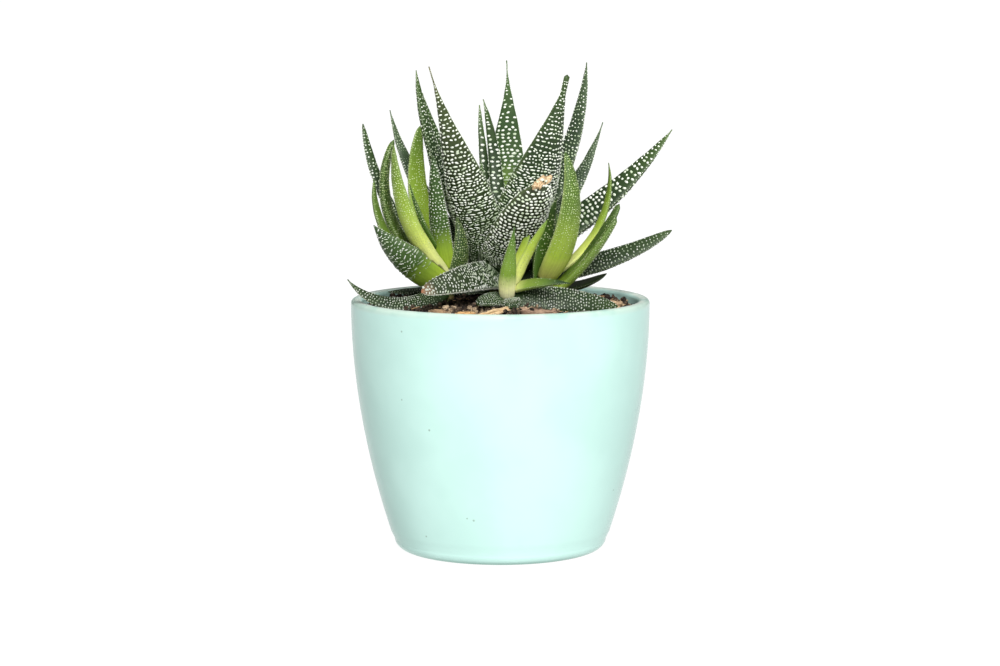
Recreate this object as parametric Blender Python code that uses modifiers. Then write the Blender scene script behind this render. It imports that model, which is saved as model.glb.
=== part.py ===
"""A small pearl-leaved succulent in a glazed round cover pot.

One big rosette and three young offsets stand on short stems in a pot full of soil. Every leaf is a
piece of its own. Metres, Z up, the camera side of the plant is -Y. The origin is the middle of the
pot's flat foot, so the pot stands on z = 0.
"""

import math

import bmesh
import bpy
from mathutils import Vector, noise

MM = 0.001
GAP = 0.3 * MM

# The pot: a turned bowl, widest just under its lip, with a rounded edge at the foot.
POT_SIDES = 40
POT_HEIGHT = 67.5 * MM
POT_RADIUS = 39.95 * MM
POT_DRAW_IN = 12.1 * MM
POT_CURVE_TOP = 66.0 * MM
POT_CURVE_POWER = 1.9
FOOT_RADIUS = 24.8 * MM
FOOT_EDGE_RUN = 3.7 * MM
FOOT_EDGE_RISE = 3.0 * MM
WALL_THICK = 3.0 * MM
FLOOR_THICK = 4.0 * MM
LIP_ROUND = 1.2 * MM

# The soil: filled to just under the lip at its edge and mounded round the stems.
SOIL_EDGE = 64.6 * MM
SOIL_MOUND = 3.0 * MM
SOIL_CRUMB = 0.45 * MM
SOIL_CRUMB_SIZE = 3.1 * MM
SOIL_RING_STEP = 5.0 * MM

# Heights of stems and leaf feet are given above this level.
GROUND = 66.0 * MM
STEM_DEPTH = 9.0 * MM
STEM_SIDES = 12

# Each rosette: x, y, stem radius, stem height over the ground level, radius where leaves start. mm.
CROWNS = {
    "main": (0.0, 1.0, 3.2, 19.0, 2.6),
    "left": (-14.0, -9.0, 2.1, 13.5, 1.5),
    "right": (12.0, -13.0, 2.0, 11.0, 1.5),
    "front": (2.0, -23.5, 1.6, 7.5, 1.0),
}

# A leaf's midline starts on its stem with one heading and rise and ends with others, in degrees.
# Heading 0 is +X and -90 is towards the camera; a rise of 90 is straight up.
# Columns: name, crown, foot height mm, heading, turn to the tip, rise at the foot, rise at the tip,
# length mm, width mm, taper (higher is a more pointed blade), roll of the blade about its midline.
# A leaf keeps its own shape, and those further down the list are cut back where they would meet it.
LEAVES = (
    ("centre_up", "front", 4.3, -94, 30, 43, 76, 22.6, 4.6, 0.96, 9),
    ("right_low", "front", 6.4, -30, 10, 19, -3, 16.8, 4.1, 0.97, 32),
    ("right_up", "front", 5.9, -30, -2, 66, 55, 21.6, 4.1, 0.52, -0),
    ("back", "front", 6.6, 60, -10, 55, 60, 16.8, 3.3, 0.43, -0),
    ("left_low", "front", 3.5, -150, 0, 8, -14, 8.5, 5.4, 0.5, -30),
    ("right_flat", "front", 3.0, -80, 0, 4, -12, 7.5, 5.6, 0.5, 10),
    ("front_left_drooping", "main", 6.9, -99, -52, 12, -14, 36.2, 8.4, 0.41, -57),
    ("right_lying", "front", 3.8, 1, 19, 0, -10, 28.4, 7.2, 0.58, 60),
    ("over_rim", "left", 4.0, -143, -66, -31, 47, 28.8, 5.7, 1.01, -38),
    ("front_up", "right", 8.7, -62, 25, 38, 114, 36.7, 8.3, 0.62, 4),
    ("right_up", "right", 9.1, 11, -5, 26, 99, 35.2, 3.1, 0.65, 23),
    ("right_mid", "right", 4.7, -3, 4, 39, 66, 29.3, 4.3, 0.30, 25),
    ("right_low", "right", 3.4, -18, 0, 40, 60, 27.6, 5.1, 0.35, 12),
    ("left_up", "right", 6.0, 170, 0, 90, 111, 23.8, 6.4, 0.8, -40),
    ("back", "right", 5.0, 75, 0, 50, 72, 22.0, 5.0, 0.8, 0),
    ("left_broad", "left", 6.5, -160, 3, 27, 53, 24.9, 11.5, 0.94, 35),
    ("front_up", "left", 9.0, -109, -9, 67, 85, 32.5, 6.1, 0.62, -6),
    ("right_short", "left", 5.5, -40, -1, 53, 116, 19.5, 5.8, 0.70, -1),
    ("left_yellow", "left", 9.2, -150, -4, 44, 91, 38.0, 9.3, 0.82, -4),
    ("front_narrow", "left", 12.7, -128, -6, 44, 71, 24.8, 2.5, 0.65, -22),
    ("left_outer", "left", 6.6, -176, 0, 20, 94, 34.9, 4.1, 0.57, -30),
    ("left_tall", "left", 8.3, 172, 1, 25, 116, 42.3, 6.1, 0.38, -7),
    ("back_broad", "left", 10.3, 130, 1, 41, 109, 40.7, 7.0, 0.49, -2),
    ("back_outer", "left", 8.6, 152, 1, 36, 81, 47.2, 3.9, 0.48, -29),
    ("back_low", "left", 6.0, 85, 0, 30, 60, 20.0, 5.0, 0.8, 0),
    ("front_short", "main", 7.5, -73, 9, 46, 42, 37.0, 16.1, 0.31, 5),
    ("front_left_tall", "main", 7.3, -128, -1, 63, 66, 62.6, 13.6, 1.78, 23),
    ("front_right_tall", "main", 13.1, -42, 8, 60, 75, 51.9, 17.0, 1.39, -17),
    ("right_low", "main", 7.8, 1, 3, -2, 32, 45.5, 6.9, 0.54, 46),
    ("right_small", "main", 6.3, 14, 8, -25, 28, 28.6, 5.4, 0.57, 17),
    ("right_long", "main", 11.2, 8, -1, 24, 53, 56.6, 9.8, 0.91, 35),
    ("right_back_tall", "main", 12.9, 18, -1, 47, 87, 56.6, 6.8, 0.84, 38),
    ("back_right_grey", "main", 9.6, 42, 1, 27, 66, 52.6, 7.1, 1.14, 21),
    ("back_left_low", "main", 3.5, 176, 0, -2, -1, 27.6, 3.8, 0.61, -34),
    ("back_left_grey", "main", 8.0, 160, 0, 35, 77, 53.1, 6.2, 0.9, -30),
    ("left_tall", "main", 11.9, 178, 0, 52, 85, 54.7, 7.2, 0.78, -23),
    ("back_left_mid", "main", 13.9, 158, 0, 51, 78, 46.7, 8.4, 0.92, -21),
    ("back_slim_left", "main", 15.0, 125, -23, 74, 75, 38.8, 3.1, 0.64, 0),
    ("back_slim_right", "main", 13.1, 105, -5, 99, 28, 48.1, 4.0, 0.90, 1),
    ("back_tall", "main", 15.9, 80, 14, 67, 46, 57.6, 10.9, 1.90, -5),
    ("back_low_middle", "main", 5.0, 95, 0, 20, 38, 36.0, 9.0, 1.0, 0),
    ("back_low_right", "main", 4.0, 58, 0, 14, 30, 33.0, 8.0, 1.0, 0),
    ("back_low_left", "main", 8.0, 161, 0, 56, 64, 36.0, 9.0, 0.8, 0),
    ("heart_left", "main", 17.0, -170, 0, 80, 86, 22.0, 5.0, 0.8, 0),
    ("heart_right", "main", 17.0, 10, 0, 80, 86, 20.0, 4.6, 0.8, 0),
)
SWELL_END = 0.22
FOOT_SHARE = 0.8
TIP_WIDTH = 0.8 * MM
BLUNT_TIPS = {"main_leaf_front_right_tall": 1.7 * MM, "main_leaf_front_short": 5.6 * MM}
OUTER_DEPTH = 0.3 * MM
OUTER_BULGE = 0.3
INNER_DEPTH = 0.3 * MM
INNER_BULGE = 0.06
BIG_PEARL = 0.5 * MM
SMALL_PEARL = 0.3 * MM
PEARL_START = 0.12
PEARL_FULL = 0.3

# The dry cap of the short front leaf: how far it tips round the leaf's end, in degrees, then for each
# ring its reach past the end, half width and half depth. mm.
HUSK_TILT = 24.0
HUSK_RINGS = ((0.45, 2.7, 1.2), (0.9, 3.1, 1.6), (1.5, 2.8, 1.35), (2.0, 1.9, 0.8))

# Loose pieces on the soil: name, x, y, length, width, thickness in mm, turn in degrees, and how much
# higher the far end along the turn lies than the near one, mm.
CHIPS = (
    ("bark_chip_orange", -9.2, -32.4, 5.0, 2.4, 1.7, 14, 0.0),
    ("bark_chip_tan", -0.8, -31.6, 9.4, 1.4, 1.1, 20, 2.2),
    ("bark_chip_brown", 9.8, -31.6, 8.4, 3.2, 2.3, -12, 0.0),
    ("bark_chip_right", 30.3, -14.2, 4.6, 3.0, 2.5, 60, 0.0),
    ("bark_chip_left", -15.2, -29.4, 4.4, 2.6, 1.9, -25, 0.0),
)


def material(name, colour, roughness, metallic=0.0):
    made = bpy.data.materials.new(name)
    made.use_nodes = True
    shader = made.node_tree.nodes["Principled BSDF"]
    shader.inputs["Base Color"].default_value = (*colour, 1.0)
    shader.inputs["Roughness"].default_value = roughness
    shader.inputs["Metallic"].default_value = metallic
    return made


def collection(name, helper=False):
    made = bpy.data.collections.new(name)
    made.hide_render = helper
    bpy.context.scene.collection.children.link(made)
    return made


def add_object(name, mesh, home, look=None):
    made = bpy.data.objects.new(name, mesh)
    home.objects.link(made)
    if look:
        mesh.materials.clear()
        mesh.materials.append(look)
    return made


def mesh_from(name, bm):
    bmesh.ops.recalc_face_normals(bm, faces=bm.faces)
    mesh = bpy.data.meshes.new(name)
    bm.to_mesh(mesh)
    bm.free()
    return mesh


def turned(name, profile, sides, home, look):
    """A body turned from a profile of (radius, height) points that starts and ends on the axis."""
    bm = bmesh.new()
    points = [bm.verts.new((radius, 0.0, height)) for radius, height in profile]
    for low, high in zip(points, points[1:]):
        bm.edges.new((low, high))
    mesh = bpy.data.meshes.new(name)
    bm.to_mesh(mesh)
    bm.free()
    made = add_object(name, mesh, home, look)
    screw = made.modifiers.new("Turn", "SCREW")
    screw.steps = sides
    screw.render_steps = sides
    screw.use_merge_vertices = True
    screw.merge_threshold = 0.00005
    screw.use_smooth_shade = False
    return made


def wall_radius(height):
    """Radius of the pot's outer side at a height over the rounded edge of the foot."""
    left = max(0.0, 1.0 - height / POT_CURVE_TOP)
    return POT_RADIUS - POT_DRAW_IN * left**POT_CURVE_POWER


def pot_profile():
    lip_middle = POT_RADIUS - LIP_ROUND
    inner_lip = POT_RADIUS - WALL_THICK
    lip_height = POT_HEIGHT - LIP_ROUND
    inside = [(0.0, FLOOR_THICK)]
    inside.append((inner_wall_radius(FLOOR_THICK) - 3.0 * MM, FLOOR_THICK))
    for height in (9.0, 20.0, 36.0, 52.0):
        inside.append((inner_wall_radius(height * MM), height * MM))
    inside.append((inner_lip, lip_height - 0.5 * MM))
    inside.append((inner_lip + 0.35 * LIP_ROUND, POT_HEIGHT - 0.3 * LIP_ROUND))
    inside.append((inner_lip + LIP_ROUND, POT_HEIGHT))
    outside = [(lip_middle, POT_HEIGHT)]
    for angle in (35, 70):
        bend = math.radians(angle)
        radius = lip_middle + LIP_ROUND * math.sin(bend)
        outside.append((radius, lip_height + LIP_ROUND * math.cos(bend)))
    for height in (63.0, 54.0, 44.0, 33.0, 22.0, 12.0, 5.5):
        outside.append((wall_radius(height * MM), height * MM))
    for angle in (75, 50, 25, 0):
        bend = math.radians(angle)
        radius = FOOT_RADIUS + FOOT_EDGE_RUN * math.sin(bend)
        outside.append((radius, FOOT_EDGE_RISE * (1.0 - math.cos(bend))))
    outside.append((0.0, 0.0))
    return inside + outside


def inner_wall_radius(height):
    return min(wall_radius(height), POT_RADIUS) - WALL_THICK


def soil_top(x, y):
    """Height of the crumbly soil at a point: a low mound with small seeded-by-place bumps."""
    out = min(1.0, math.hypot(x, y) / (POT_RADIUS - WALL_THICK))
    crumb = noise.noise(Vector((x, y, 0.0)) / SOIL_CRUMB_SIZE) * SOIL_CRUMB * 2.0
    return SOIL_EDGE + SOIL_MOUND * (1.0 - out**3) + crumb


def make_soil(home, look):
    side = [(0.0, FLOOR_THICK + GAP), (inner_wall_radius(FLOOR_THICK) - 3.5 * MM, FLOOR_THICK + GAP)]
    for height in (9.0, 20.0, 36.0, 52.0):
        side.append((inner_wall_radius(height * MM) - GAP, height * MM))
    rim = POT_RADIUS - WALL_THICK - GAP
    side.append((rim, SOIL_EDGE - 1.0 * MM))
    radius = rim - 0.8 * MM
    while radius > 1.0 * MM:
        side.append((radius, SOIL_EDGE))
        radius -= SOIL_RING_STEP
    side.append((0.0, SOIL_EDGE))
    profile = [point for point in reversed(side)]
    made = turned("soil", profile, POT_SIDES, home, look)
    mesh = baked(made)
    bm = bmesh.new()
    bm.from_mesh(mesh)
    for vertex in bm.verts:
        if vertex.co.z > SOIL_EDGE - 0.5 * MM:
            vertex.co.z = soil_top(vertex.co.x, vertex.co.y)
    bmesh.ops.triangulate(bm, faces=bm.faces)
    bm.to_mesh(mesh)
    bm.free()
    return made


def baked(thing):
    """Makes an object's modifiers part of its mesh."""
    graph = bpy.context.evaluated_depsgraph_get()
    graph.update()
    mesh = bpy.data.meshes.new_from_object(thing.evaluated_get(graph))
    thing.modifiers.clear()
    old = thing.data
    thing.data = mesh
    name = old.name
    bpy.data.meshes.remove(old)
    mesh.name = name
    return mesh


def make_stem(crown, home, look, grow=0.0):
    x, y, radius, height, _ = CROWNS[crown]
    bm = bmesh.new()
    length = height * MM + STEM_DEPTH + 2.0 * grow
    bmesh.ops.create_cone(
        bm,
        cap_ends=True,
        segments=STEM_SIDES,
        radius1=radius * MM + grow,
        radius2=(radius - 0.5) * MM + grow,
        depth=length,
    )
    middle = GROUND - STEM_DEPTH - grow + length / 2.0
    bmesh.ops.translate(bm, verts=bm.verts, vec=(x * MM, y * MM, middle))
    name = crown + "_stem" + ("_clearance" if grow else "")
    return add_object(name, mesh_from(name, bm), home, look)


def leaf_width(leaf, along):
    """Width of the blade at a share of its length: it swells from the foot, then tapers."""
    width, taper = leaf[8] * MM, leaf[9]
    swell = math.sin(0.5 * math.pi * min(1.0, along / SWELL_END))
    swell = FOOT_SHARE + (1.0 - FOOT_SHARE) * swell
    past = max(0.0, (along - SWELL_END) / (1.0 - SWELL_END))
    blunt = BLUNT_TIPS.get(leaf_name(leaf), TIP_WIDTH)
    return max(blunt, width * swell * math.cos(0.5 * math.pi * min(1.0, past)) ** taper)


def leaf_name(leaf):
    return leaf[1] + "_leaf_" + leaf[0]


def leaf_stations(leaf, rings):
    """Centre, side and face directions, and share of the length, at each ring from foot to tip."""
    _, crown, height, heading, turn, rise, rise_tip, length = leaf[:8]
    x, y, _, _, start = CROWNS[crown]
    roll = math.radians(leaf[10])
    towards = math.radians(heading)
    centre = Vector((x + start * math.cos(towards), y + start * math.sin(towards), height)) * MM
    centre.z += GROUND
    found = []
    for ring in range(rings + 1):
        along = ring / rings
        compass, climb = math.radians(heading + turn * along), math.radians(rise + (rise_tip - rise) * along)
        flat = Vector((math.cos(compass), math.sin(compass), 0.0))
        ahead = flat * math.cos(climb) + Vector((0.0, 0.0, math.sin(climb)))
        level = Vector((-flat.y, flat.x, 0.0))
        face = ahead.cross(level)
        side = level * math.cos(roll) + face * math.sin(roll)
        up = face * math.cos(roll) - level * math.sin(roll)
        found.append((centre.copy(), ahead, side, up, along))
        middle = (ring + 0.5) / rings
        compass, climb = math.radians(heading + turn * middle), math.radians(rise + (rise_tip - rise) * middle)
        flat = Vector((math.cos(compass), math.sin(compass), 0.0))
        step = flat * math.cos(climb) + Vector((0.0, 0.0, math.sin(climb)))
        centre += step * (length * MM / rings)
    return found


def pearl_height(leaf, along):
    pearl = BIG_PEARL if leaf[1] == "main" else SMALL_PEARL
    grown = (along - PEARL_START) / (PEARL_FULL - PEARL_START)
    narrow = leaf_width(leaf, along) / (4.0 * MM)
    return pearl * max(0.0, min(1.0, grown)) * min(1.0, narrow)


def leaf_mesh(leaf, around, rings, pearls=True, grow=0.0):
    """The blade as a loft of crescent rings. Every second point stands up as a pearl."""
    bm = bmesh.new()
    loops = []
    for ring, (centre, ahead, side, up, along) in enumerate(leaf_stations(leaf, rings)):
        half = leaf_width(leaf, along) / 2.0
        outer = OUTER_DEPTH + OUTER_BULGE * 2.0 * half
        inner = INNER_DEPTH + INNER_BULGE * 2.0 * half
        pearl = pearl_height(leaf, along)
        centre = centre + up * ((outer - inner) / 2.0)
        if grow:
            centre = centre + ahead * (grow if ring == rings else -grow if ring == 0 else 0.0)
        loop = []
        for step in range(around):
            angle = 2.0 * math.pi * step / around
            depth = inner if math.sin(angle) > 0.0 else outer
            offset = side * (half * math.cos(angle)) + up * (depth * math.sin(angle))
            lift = grow + pearl if grow else 0.0
            if pearls and (ring + step) % 2 == 0 and 0 < ring < rings:
                lift += pearl
            loop.append(bm.verts.new(centre + offset + offset.normalized() * lift))
        loops.append(loop)
    for ring, (low, high) in enumerate(zip(loops, loops[1:])):
        for step in range(around):
            after = (step + 1) % around
            a, b, c, d = low[step], low[after], high[after], high[step]
            if (ring + step) % 2 == 0:
                bm.faces.new((a, b, d))
                bm.faces.new((b, c, d))
            else:
                bm.faces.new((a, b, c))
                bm.faces.new((a, c, d))
    bm.faces.new(loops[0][::-1])
    bm.faces.new(loops[-1])
    return mesh_from(leaf_name(leaf), bm)


def leaf_detail(leaf):
    """Points round the blade and rings along it."""
    if leaf[1] != "main" or leaf[8] < 5.5:
        return 8, max(6, round(leaf[7] / 3.35))
    return 10, max(8, round(leaf[7] / 3.35))


def keep_largest(mesh):
    """Drops every scrap but the biggest body that a cut has left."""
    bm = bmesh.new()
    bm.from_mesh(mesh)
    bmesh.ops.remove_doubles(bm, verts=bm.verts, dist=0.001 * MM)
    bodies, seen = [], set()
    for start in bm.faces:
        if start in seen:
            continue
        body, todo = [], [start]
        seen.add(start)
        while todo:
            face = todo.pop()
            body.append(face)
            for edge in face.edges:
                for other in edge.link_faces:
                    if other not in seen:
                        seen.add(other)
                        todo.append(other)
        bodies.append(body)
    bodies.sort(key=lambda body: sum(face.calc_area() for face in body))
    for body in bodies[:-1]:
        bmesh.ops.delete(bm, geom=body, context="FACES")
    bmesh.ops.delete(bm, geom=[v for v in bm.verts if not v.link_faces], context="VERTS")
    bm.to_mesh(mesh)
    bm.free()
    return len(bodies)


def box_of(thing):
    points = [thing.matrix_world @ vertex.co for vertex in thing.data.vertices]
    low = [min(point[axis] for point in points) for axis in range(3)]
    high = [max(point[axis] for point in points) for axis in range(3)]
    return low, high


def boxes_meet(one, other):
    return all(one[0][axis] < other[1][axis] and other[0][axis] < one[1][axis] for axis in range(3))


def cut(thing, tools):
    """Takes the tools that reach it out of a piece and keeps its biggest body."""
    own = box_of(thing)
    near = [tool for tool in tools if boxes_meet(own, box_of(tool))]
    for tool in near:
        trim = thing.modifiers.new("Cut " + tool.name, "BOOLEAN")
        trim.operation = "DIFFERENCE"
        trim.solver = "EXACT"
        trim.object = tool
    if near:
        keep_largest(baked(thing))


def make_chip(chip, home, look):
    """A split flake of bark: a block with one end narrowed, lying on the soil."""
    name, x, y, length, width, thick, turn, lift = chip
    bm = bmesh.new()
    bmesh.ops.create_cube(bm, size=1.0)
    bmesh.ops.subdivide_edges(bm, edges=bm.edges, cuts=1, use_grid_fill=True)
    aim = math.radians(turn)
    lowest = max(soil_top((x + dx) * MM, (y + dy) * MM) for dx in (-1.5, 0, 1.5) for dy in (-1, 0, 1))
    for vertex in bm.verts:
        lump = noise.noise(vertex.co * 2.3 + Vector((x, y, 0.0)))
        px = vertex.co.x * length * (1.0 + 0.2 * lump)
        py = vertex.co.y * width * (1.0 - 0.45 * vertex.co.x + 0.2 * lump)
        pz = vertex.co.z * thick * (1.0 + 0.3 * lump)
        spot_x, spot_y = (x + px * math.cos(aim) - py * math.sin(aim)), (y + px * math.sin(aim) + py * math.cos(aim))
        height = pz + 0.35 * thick + lift * (px / length + 0.5)
        vertex.co = Vector((spot_x * MM, spot_y * MM, lowest + height * MM))
    return add_object(name, mesh_from(name, bm), home, look)


def make_husk(home, look):
    """The dry plug that caps the blunt end of the short front leaf."""
    leaf = next(row for row in LEAVES if leaf_name(row) == "main_leaf_front_short")
    centre, ahead, side, up, _ = leaf_stations(leaf, 12)[-1]
    tilt = math.radians(HUSK_TILT)
    side, up = side * math.cos(tilt) + up * math.sin(tilt), up * math.cos(tilt) - side * math.sin(tilt)
    bm = bmesh.new()
    loops = []
    for reach, wide, deep in HUSK_RINGS:
        loop = []
        for step in range(12):
            angle = 2.0 * math.pi * step / 12
            crinkle = 1.0 + 0.12 * math.cos(3.0 * angle + 2.0 * reach)
            offset = side * (wide * crinkle * math.cos(angle)) + up * (deep * crinkle * math.sin(angle))
            loop.append(bm.verts.new(centre + (offset + ahead * reach) * MM))
        loops.append(loop)
    for low, high in zip(loops, loops[1:]):
        for step in range(12):
            after = (step + 1) % 12
            bm.faces.new((low[step], low[after], high[after]))
            bm.faces.new((low[step], high[after], high[step]))
    bm.faces.new(loops[0][::-1])
    bm.faces.new(loops[-1])
    return add_object("dry_husk", mesh_from("dry_husk", bm), home, look)


def main():
    for thing in list(bpy.data.objects):
        bpy.data.objects.remove(thing, do_unlink=True)
    home = collection("potted_succulent")
    tools = collection("cutters", helper=True)
    glaze = material("mint_glaze", (0.62, 0.90, 0.82), 0.12)
    earth = material("potting_soil", (0.055, 0.032, 0.02), 0.95)
    bark = material("bark", (0.32, 0.17, 0.08), 0.85)
    stalk = material("stem_green", (0.22, 0.28, 0.08), 0.6)
    dark = material("dark_leaf", (0.045, 0.10, 0.04), 0.45)
    bright = material("young_leaf", (0.20, 0.36, 0.05), 0.4)
    dry = material("dry_leaf_tip", (0.42, 0.27, 0.13), 0.85)

    turned("pot", pot_profile(), POT_SIDES, home, glaze)
    soil = make_soil(home, earth)
    soil_room = add_object("soil_clearance", soil.data.copy(), tools)
    soil_room.location.z = GAP
    soil_room.display_type = "WIRE"
    bpy.context.view_layer.update()
    stems = [make_stem(crown, home, stalk) for crown in CROWNS]
    stem_room = [make_stem(crown, tools, None, GAP) for crown in CROWNS]
    for tool in stem_room:
        tool.display_type = "WIRE"
    cut(soil, stem_room)

    room = []
    husk = make_husk(home, dry)
    for leaf in LEAVES:
        around, rings = leaf_detail(leaf)
        look = dark if leaf[1] == "main" else bright
        made = add_object(leaf_name(leaf), leaf_mesh(leaf, around, rings), home, look)
        cut(made, stem_room + [soil_room] + room)
        grown = leaf_mesh(leaf, around, rings, pearls=False, grow=GAP)
        tool = add_object(leaf_name(leaf) + "_clearance", grown, tools)
        tool.display_type = "WIRE"
        room.append(tool)
    chips = [make_chip(chip, home, bark) for chip in CHIPS]
    for chip in chips:
        cut(chip, [soil_room] + room)
    for tool in list(tools.objects):
        bpy.data.objects.remove(tool, do_unlink=True)
    bpy.data.collections.remove(tools)


main()
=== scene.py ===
"""A small pearl-leaved succulent, with three offsets, in a glazed mint cover pot.

The file is laid out as an add-on. Its sidebar panel lists one operator for each piece or group of
like pieces, and one for the stage. Run as a script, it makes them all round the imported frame.
Metres, Z up. The camera looks along +Y and the pot's foot stands on z = 0.
"""

import math
import random
from typing import NamedTuple

import bmesh
import bpy
from bpy.props import FloatProperty, FloatVectorProperty, IntProperty, PointerProperty
from mathutils import Euler, Matrix, Vector, noise
from mathutils.bvhtree import BVHTree


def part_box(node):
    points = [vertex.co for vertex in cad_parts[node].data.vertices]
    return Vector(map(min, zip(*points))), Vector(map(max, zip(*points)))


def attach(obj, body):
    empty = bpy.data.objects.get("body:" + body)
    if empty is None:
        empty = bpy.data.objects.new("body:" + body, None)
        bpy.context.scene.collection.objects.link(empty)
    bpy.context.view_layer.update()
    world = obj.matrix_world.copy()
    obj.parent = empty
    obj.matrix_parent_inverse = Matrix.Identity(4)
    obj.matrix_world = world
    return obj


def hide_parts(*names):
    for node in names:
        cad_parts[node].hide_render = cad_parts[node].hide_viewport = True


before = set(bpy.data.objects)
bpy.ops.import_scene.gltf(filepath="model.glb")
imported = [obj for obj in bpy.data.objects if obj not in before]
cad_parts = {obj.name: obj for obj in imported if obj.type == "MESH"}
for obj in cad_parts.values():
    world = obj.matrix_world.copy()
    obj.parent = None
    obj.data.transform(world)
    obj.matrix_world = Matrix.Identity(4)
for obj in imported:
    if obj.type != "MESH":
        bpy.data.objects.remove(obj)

bl_info = {
    "name": "Potted Succulent",
    "version": (1, 0, 0),
    "blender": (4, 5, 0),
    "location": "3D View > Sidebar > Succulent",
    "description": "Makes a pearl-leaved succulent in a glazed cover pot",
    "category": "Add Mesh",
}

# Without a seed of its own, Blender's noise for vectors differs from run to run.
noise.seed_set(11)

MM = 0.001
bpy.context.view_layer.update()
POT_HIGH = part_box("pot")[1]

# The pot's outer side, as in the CAD: radius - draw_in * (1 - height / curve_top) ** power.
POT_DRAW_IN = 12.1 * MM
POT_CURVE_TOP = 66.0 * MM
POT_CURVE_POWER = 1.9
FOOT_RADIUS = 24.8 * MM
FOOT_EDGE_RUN = 3.7 * MM
FOOT_EDGE_RISE = 3.0 * MM
FLOOR_THICK = 4.0 * MM
INNER_CORNER = 3.0 * MM
LIP_ROUND = 1.2 * MM
LIP_SQUARENESS = 0.75

# Where the glaze changes: how far down the lip it is thin, the band of painted shade on its outer edge
# as distances in from the side and down from the rim, where the painted light inside begins, and the
# band of painted shadow round the foot.
LIP_BAND = 2.0 * MM
EDGE_IN = (1.6 * MM, 0.5 * MM)
EDGE_DOWN = 0.6 * MM
INSIDE_FADE = 0.7 * MM
INSIDE_FROM = 50.0 * MM
# Painted shadow: the glaze is darker just over the foot, where the pot meets the floor.
FOOT_SHADOW_BAND = (0.2 * MM, 1.5 * MM)
FOOT_PAINTED_SHADOW = (104, 150, 136)
# Painted shade on the rounded outer edge of the lip.
EDGE_PAINTED_SHADE = (142, 176, 162)
PINHOLE_GLAZE = (96, 110, 92)

# Tiny dark pinholes in the glaze, as x and z on the side that faces the camera, with a radius. mm.
PINHOLES = (
    (-25.4, 62.2, 0.26),
    (-25.5, 44.2, 0.24),
    (-18.3, 36.8, 0.3),
    (-19.4, 7.2, 0.26),
    (-8.6, 13.4, 0.22),
    (-6.9, 12.9, 0.3),
    (29.9, 18.0, 0.22),
)

# The soil, as in the CAD, then the mesh of its top, and how rough that is, mm.
SOIL_EDGE = 64.6 * MM
SOIL_MOUND = 3.0 * MM
SOIL_CRUMB = 0.45 * MM
SOIL_CRUMB_SIZE = 3.1 * MM
SOIL_CORNER = 3.5 * MM
GAP = 0.3 * MM
SOIL_RINGS = 44
SOIL_SIDES = 120
SOIL_ROUGH = 0.45

# The heap of coarser crumbs at the front: its middle and half its size, and its height, mm.
HEAP_MIDDLE = (-2.0, -29.0)
HEAP_HALF = (19.0, 6.0)
HEAP_HIGH = 2.6

# Stems: x, y, radius, height over the ground level, radius where leaves start. mm.
GROUND = 66.0 * MM
STEM_DEPTH = 9.0 * MM
STEM_TAPER = 0.5
CROWNS = {
    "main": (0.0, 1.0, 3.2, 19.0, 2.6),
    "left": (-14.0, -9.0, 2.1, 13.5, 1.5),
    "right": (12.0, -13.0, 2.0, 11.0, 1.5),
    "front": (2.0, -23.5, 1.6, 7.5, 1.0),
}


class Leaf(NamedTuple):
    """One leaf, as in the CAD: angles in degrees, sizes in mm, then its skin and its pearls."""

    name: str
    crown: str
    height: float
    heading: float
    turn: float
    rise: float
    rise_tip: float
    length: float
    width: float
    taper: float
    roll: float
    skin: str
    pearls: str

    @property
    def node(self):
        return self.crown + "_leaf_" + self.name


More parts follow.
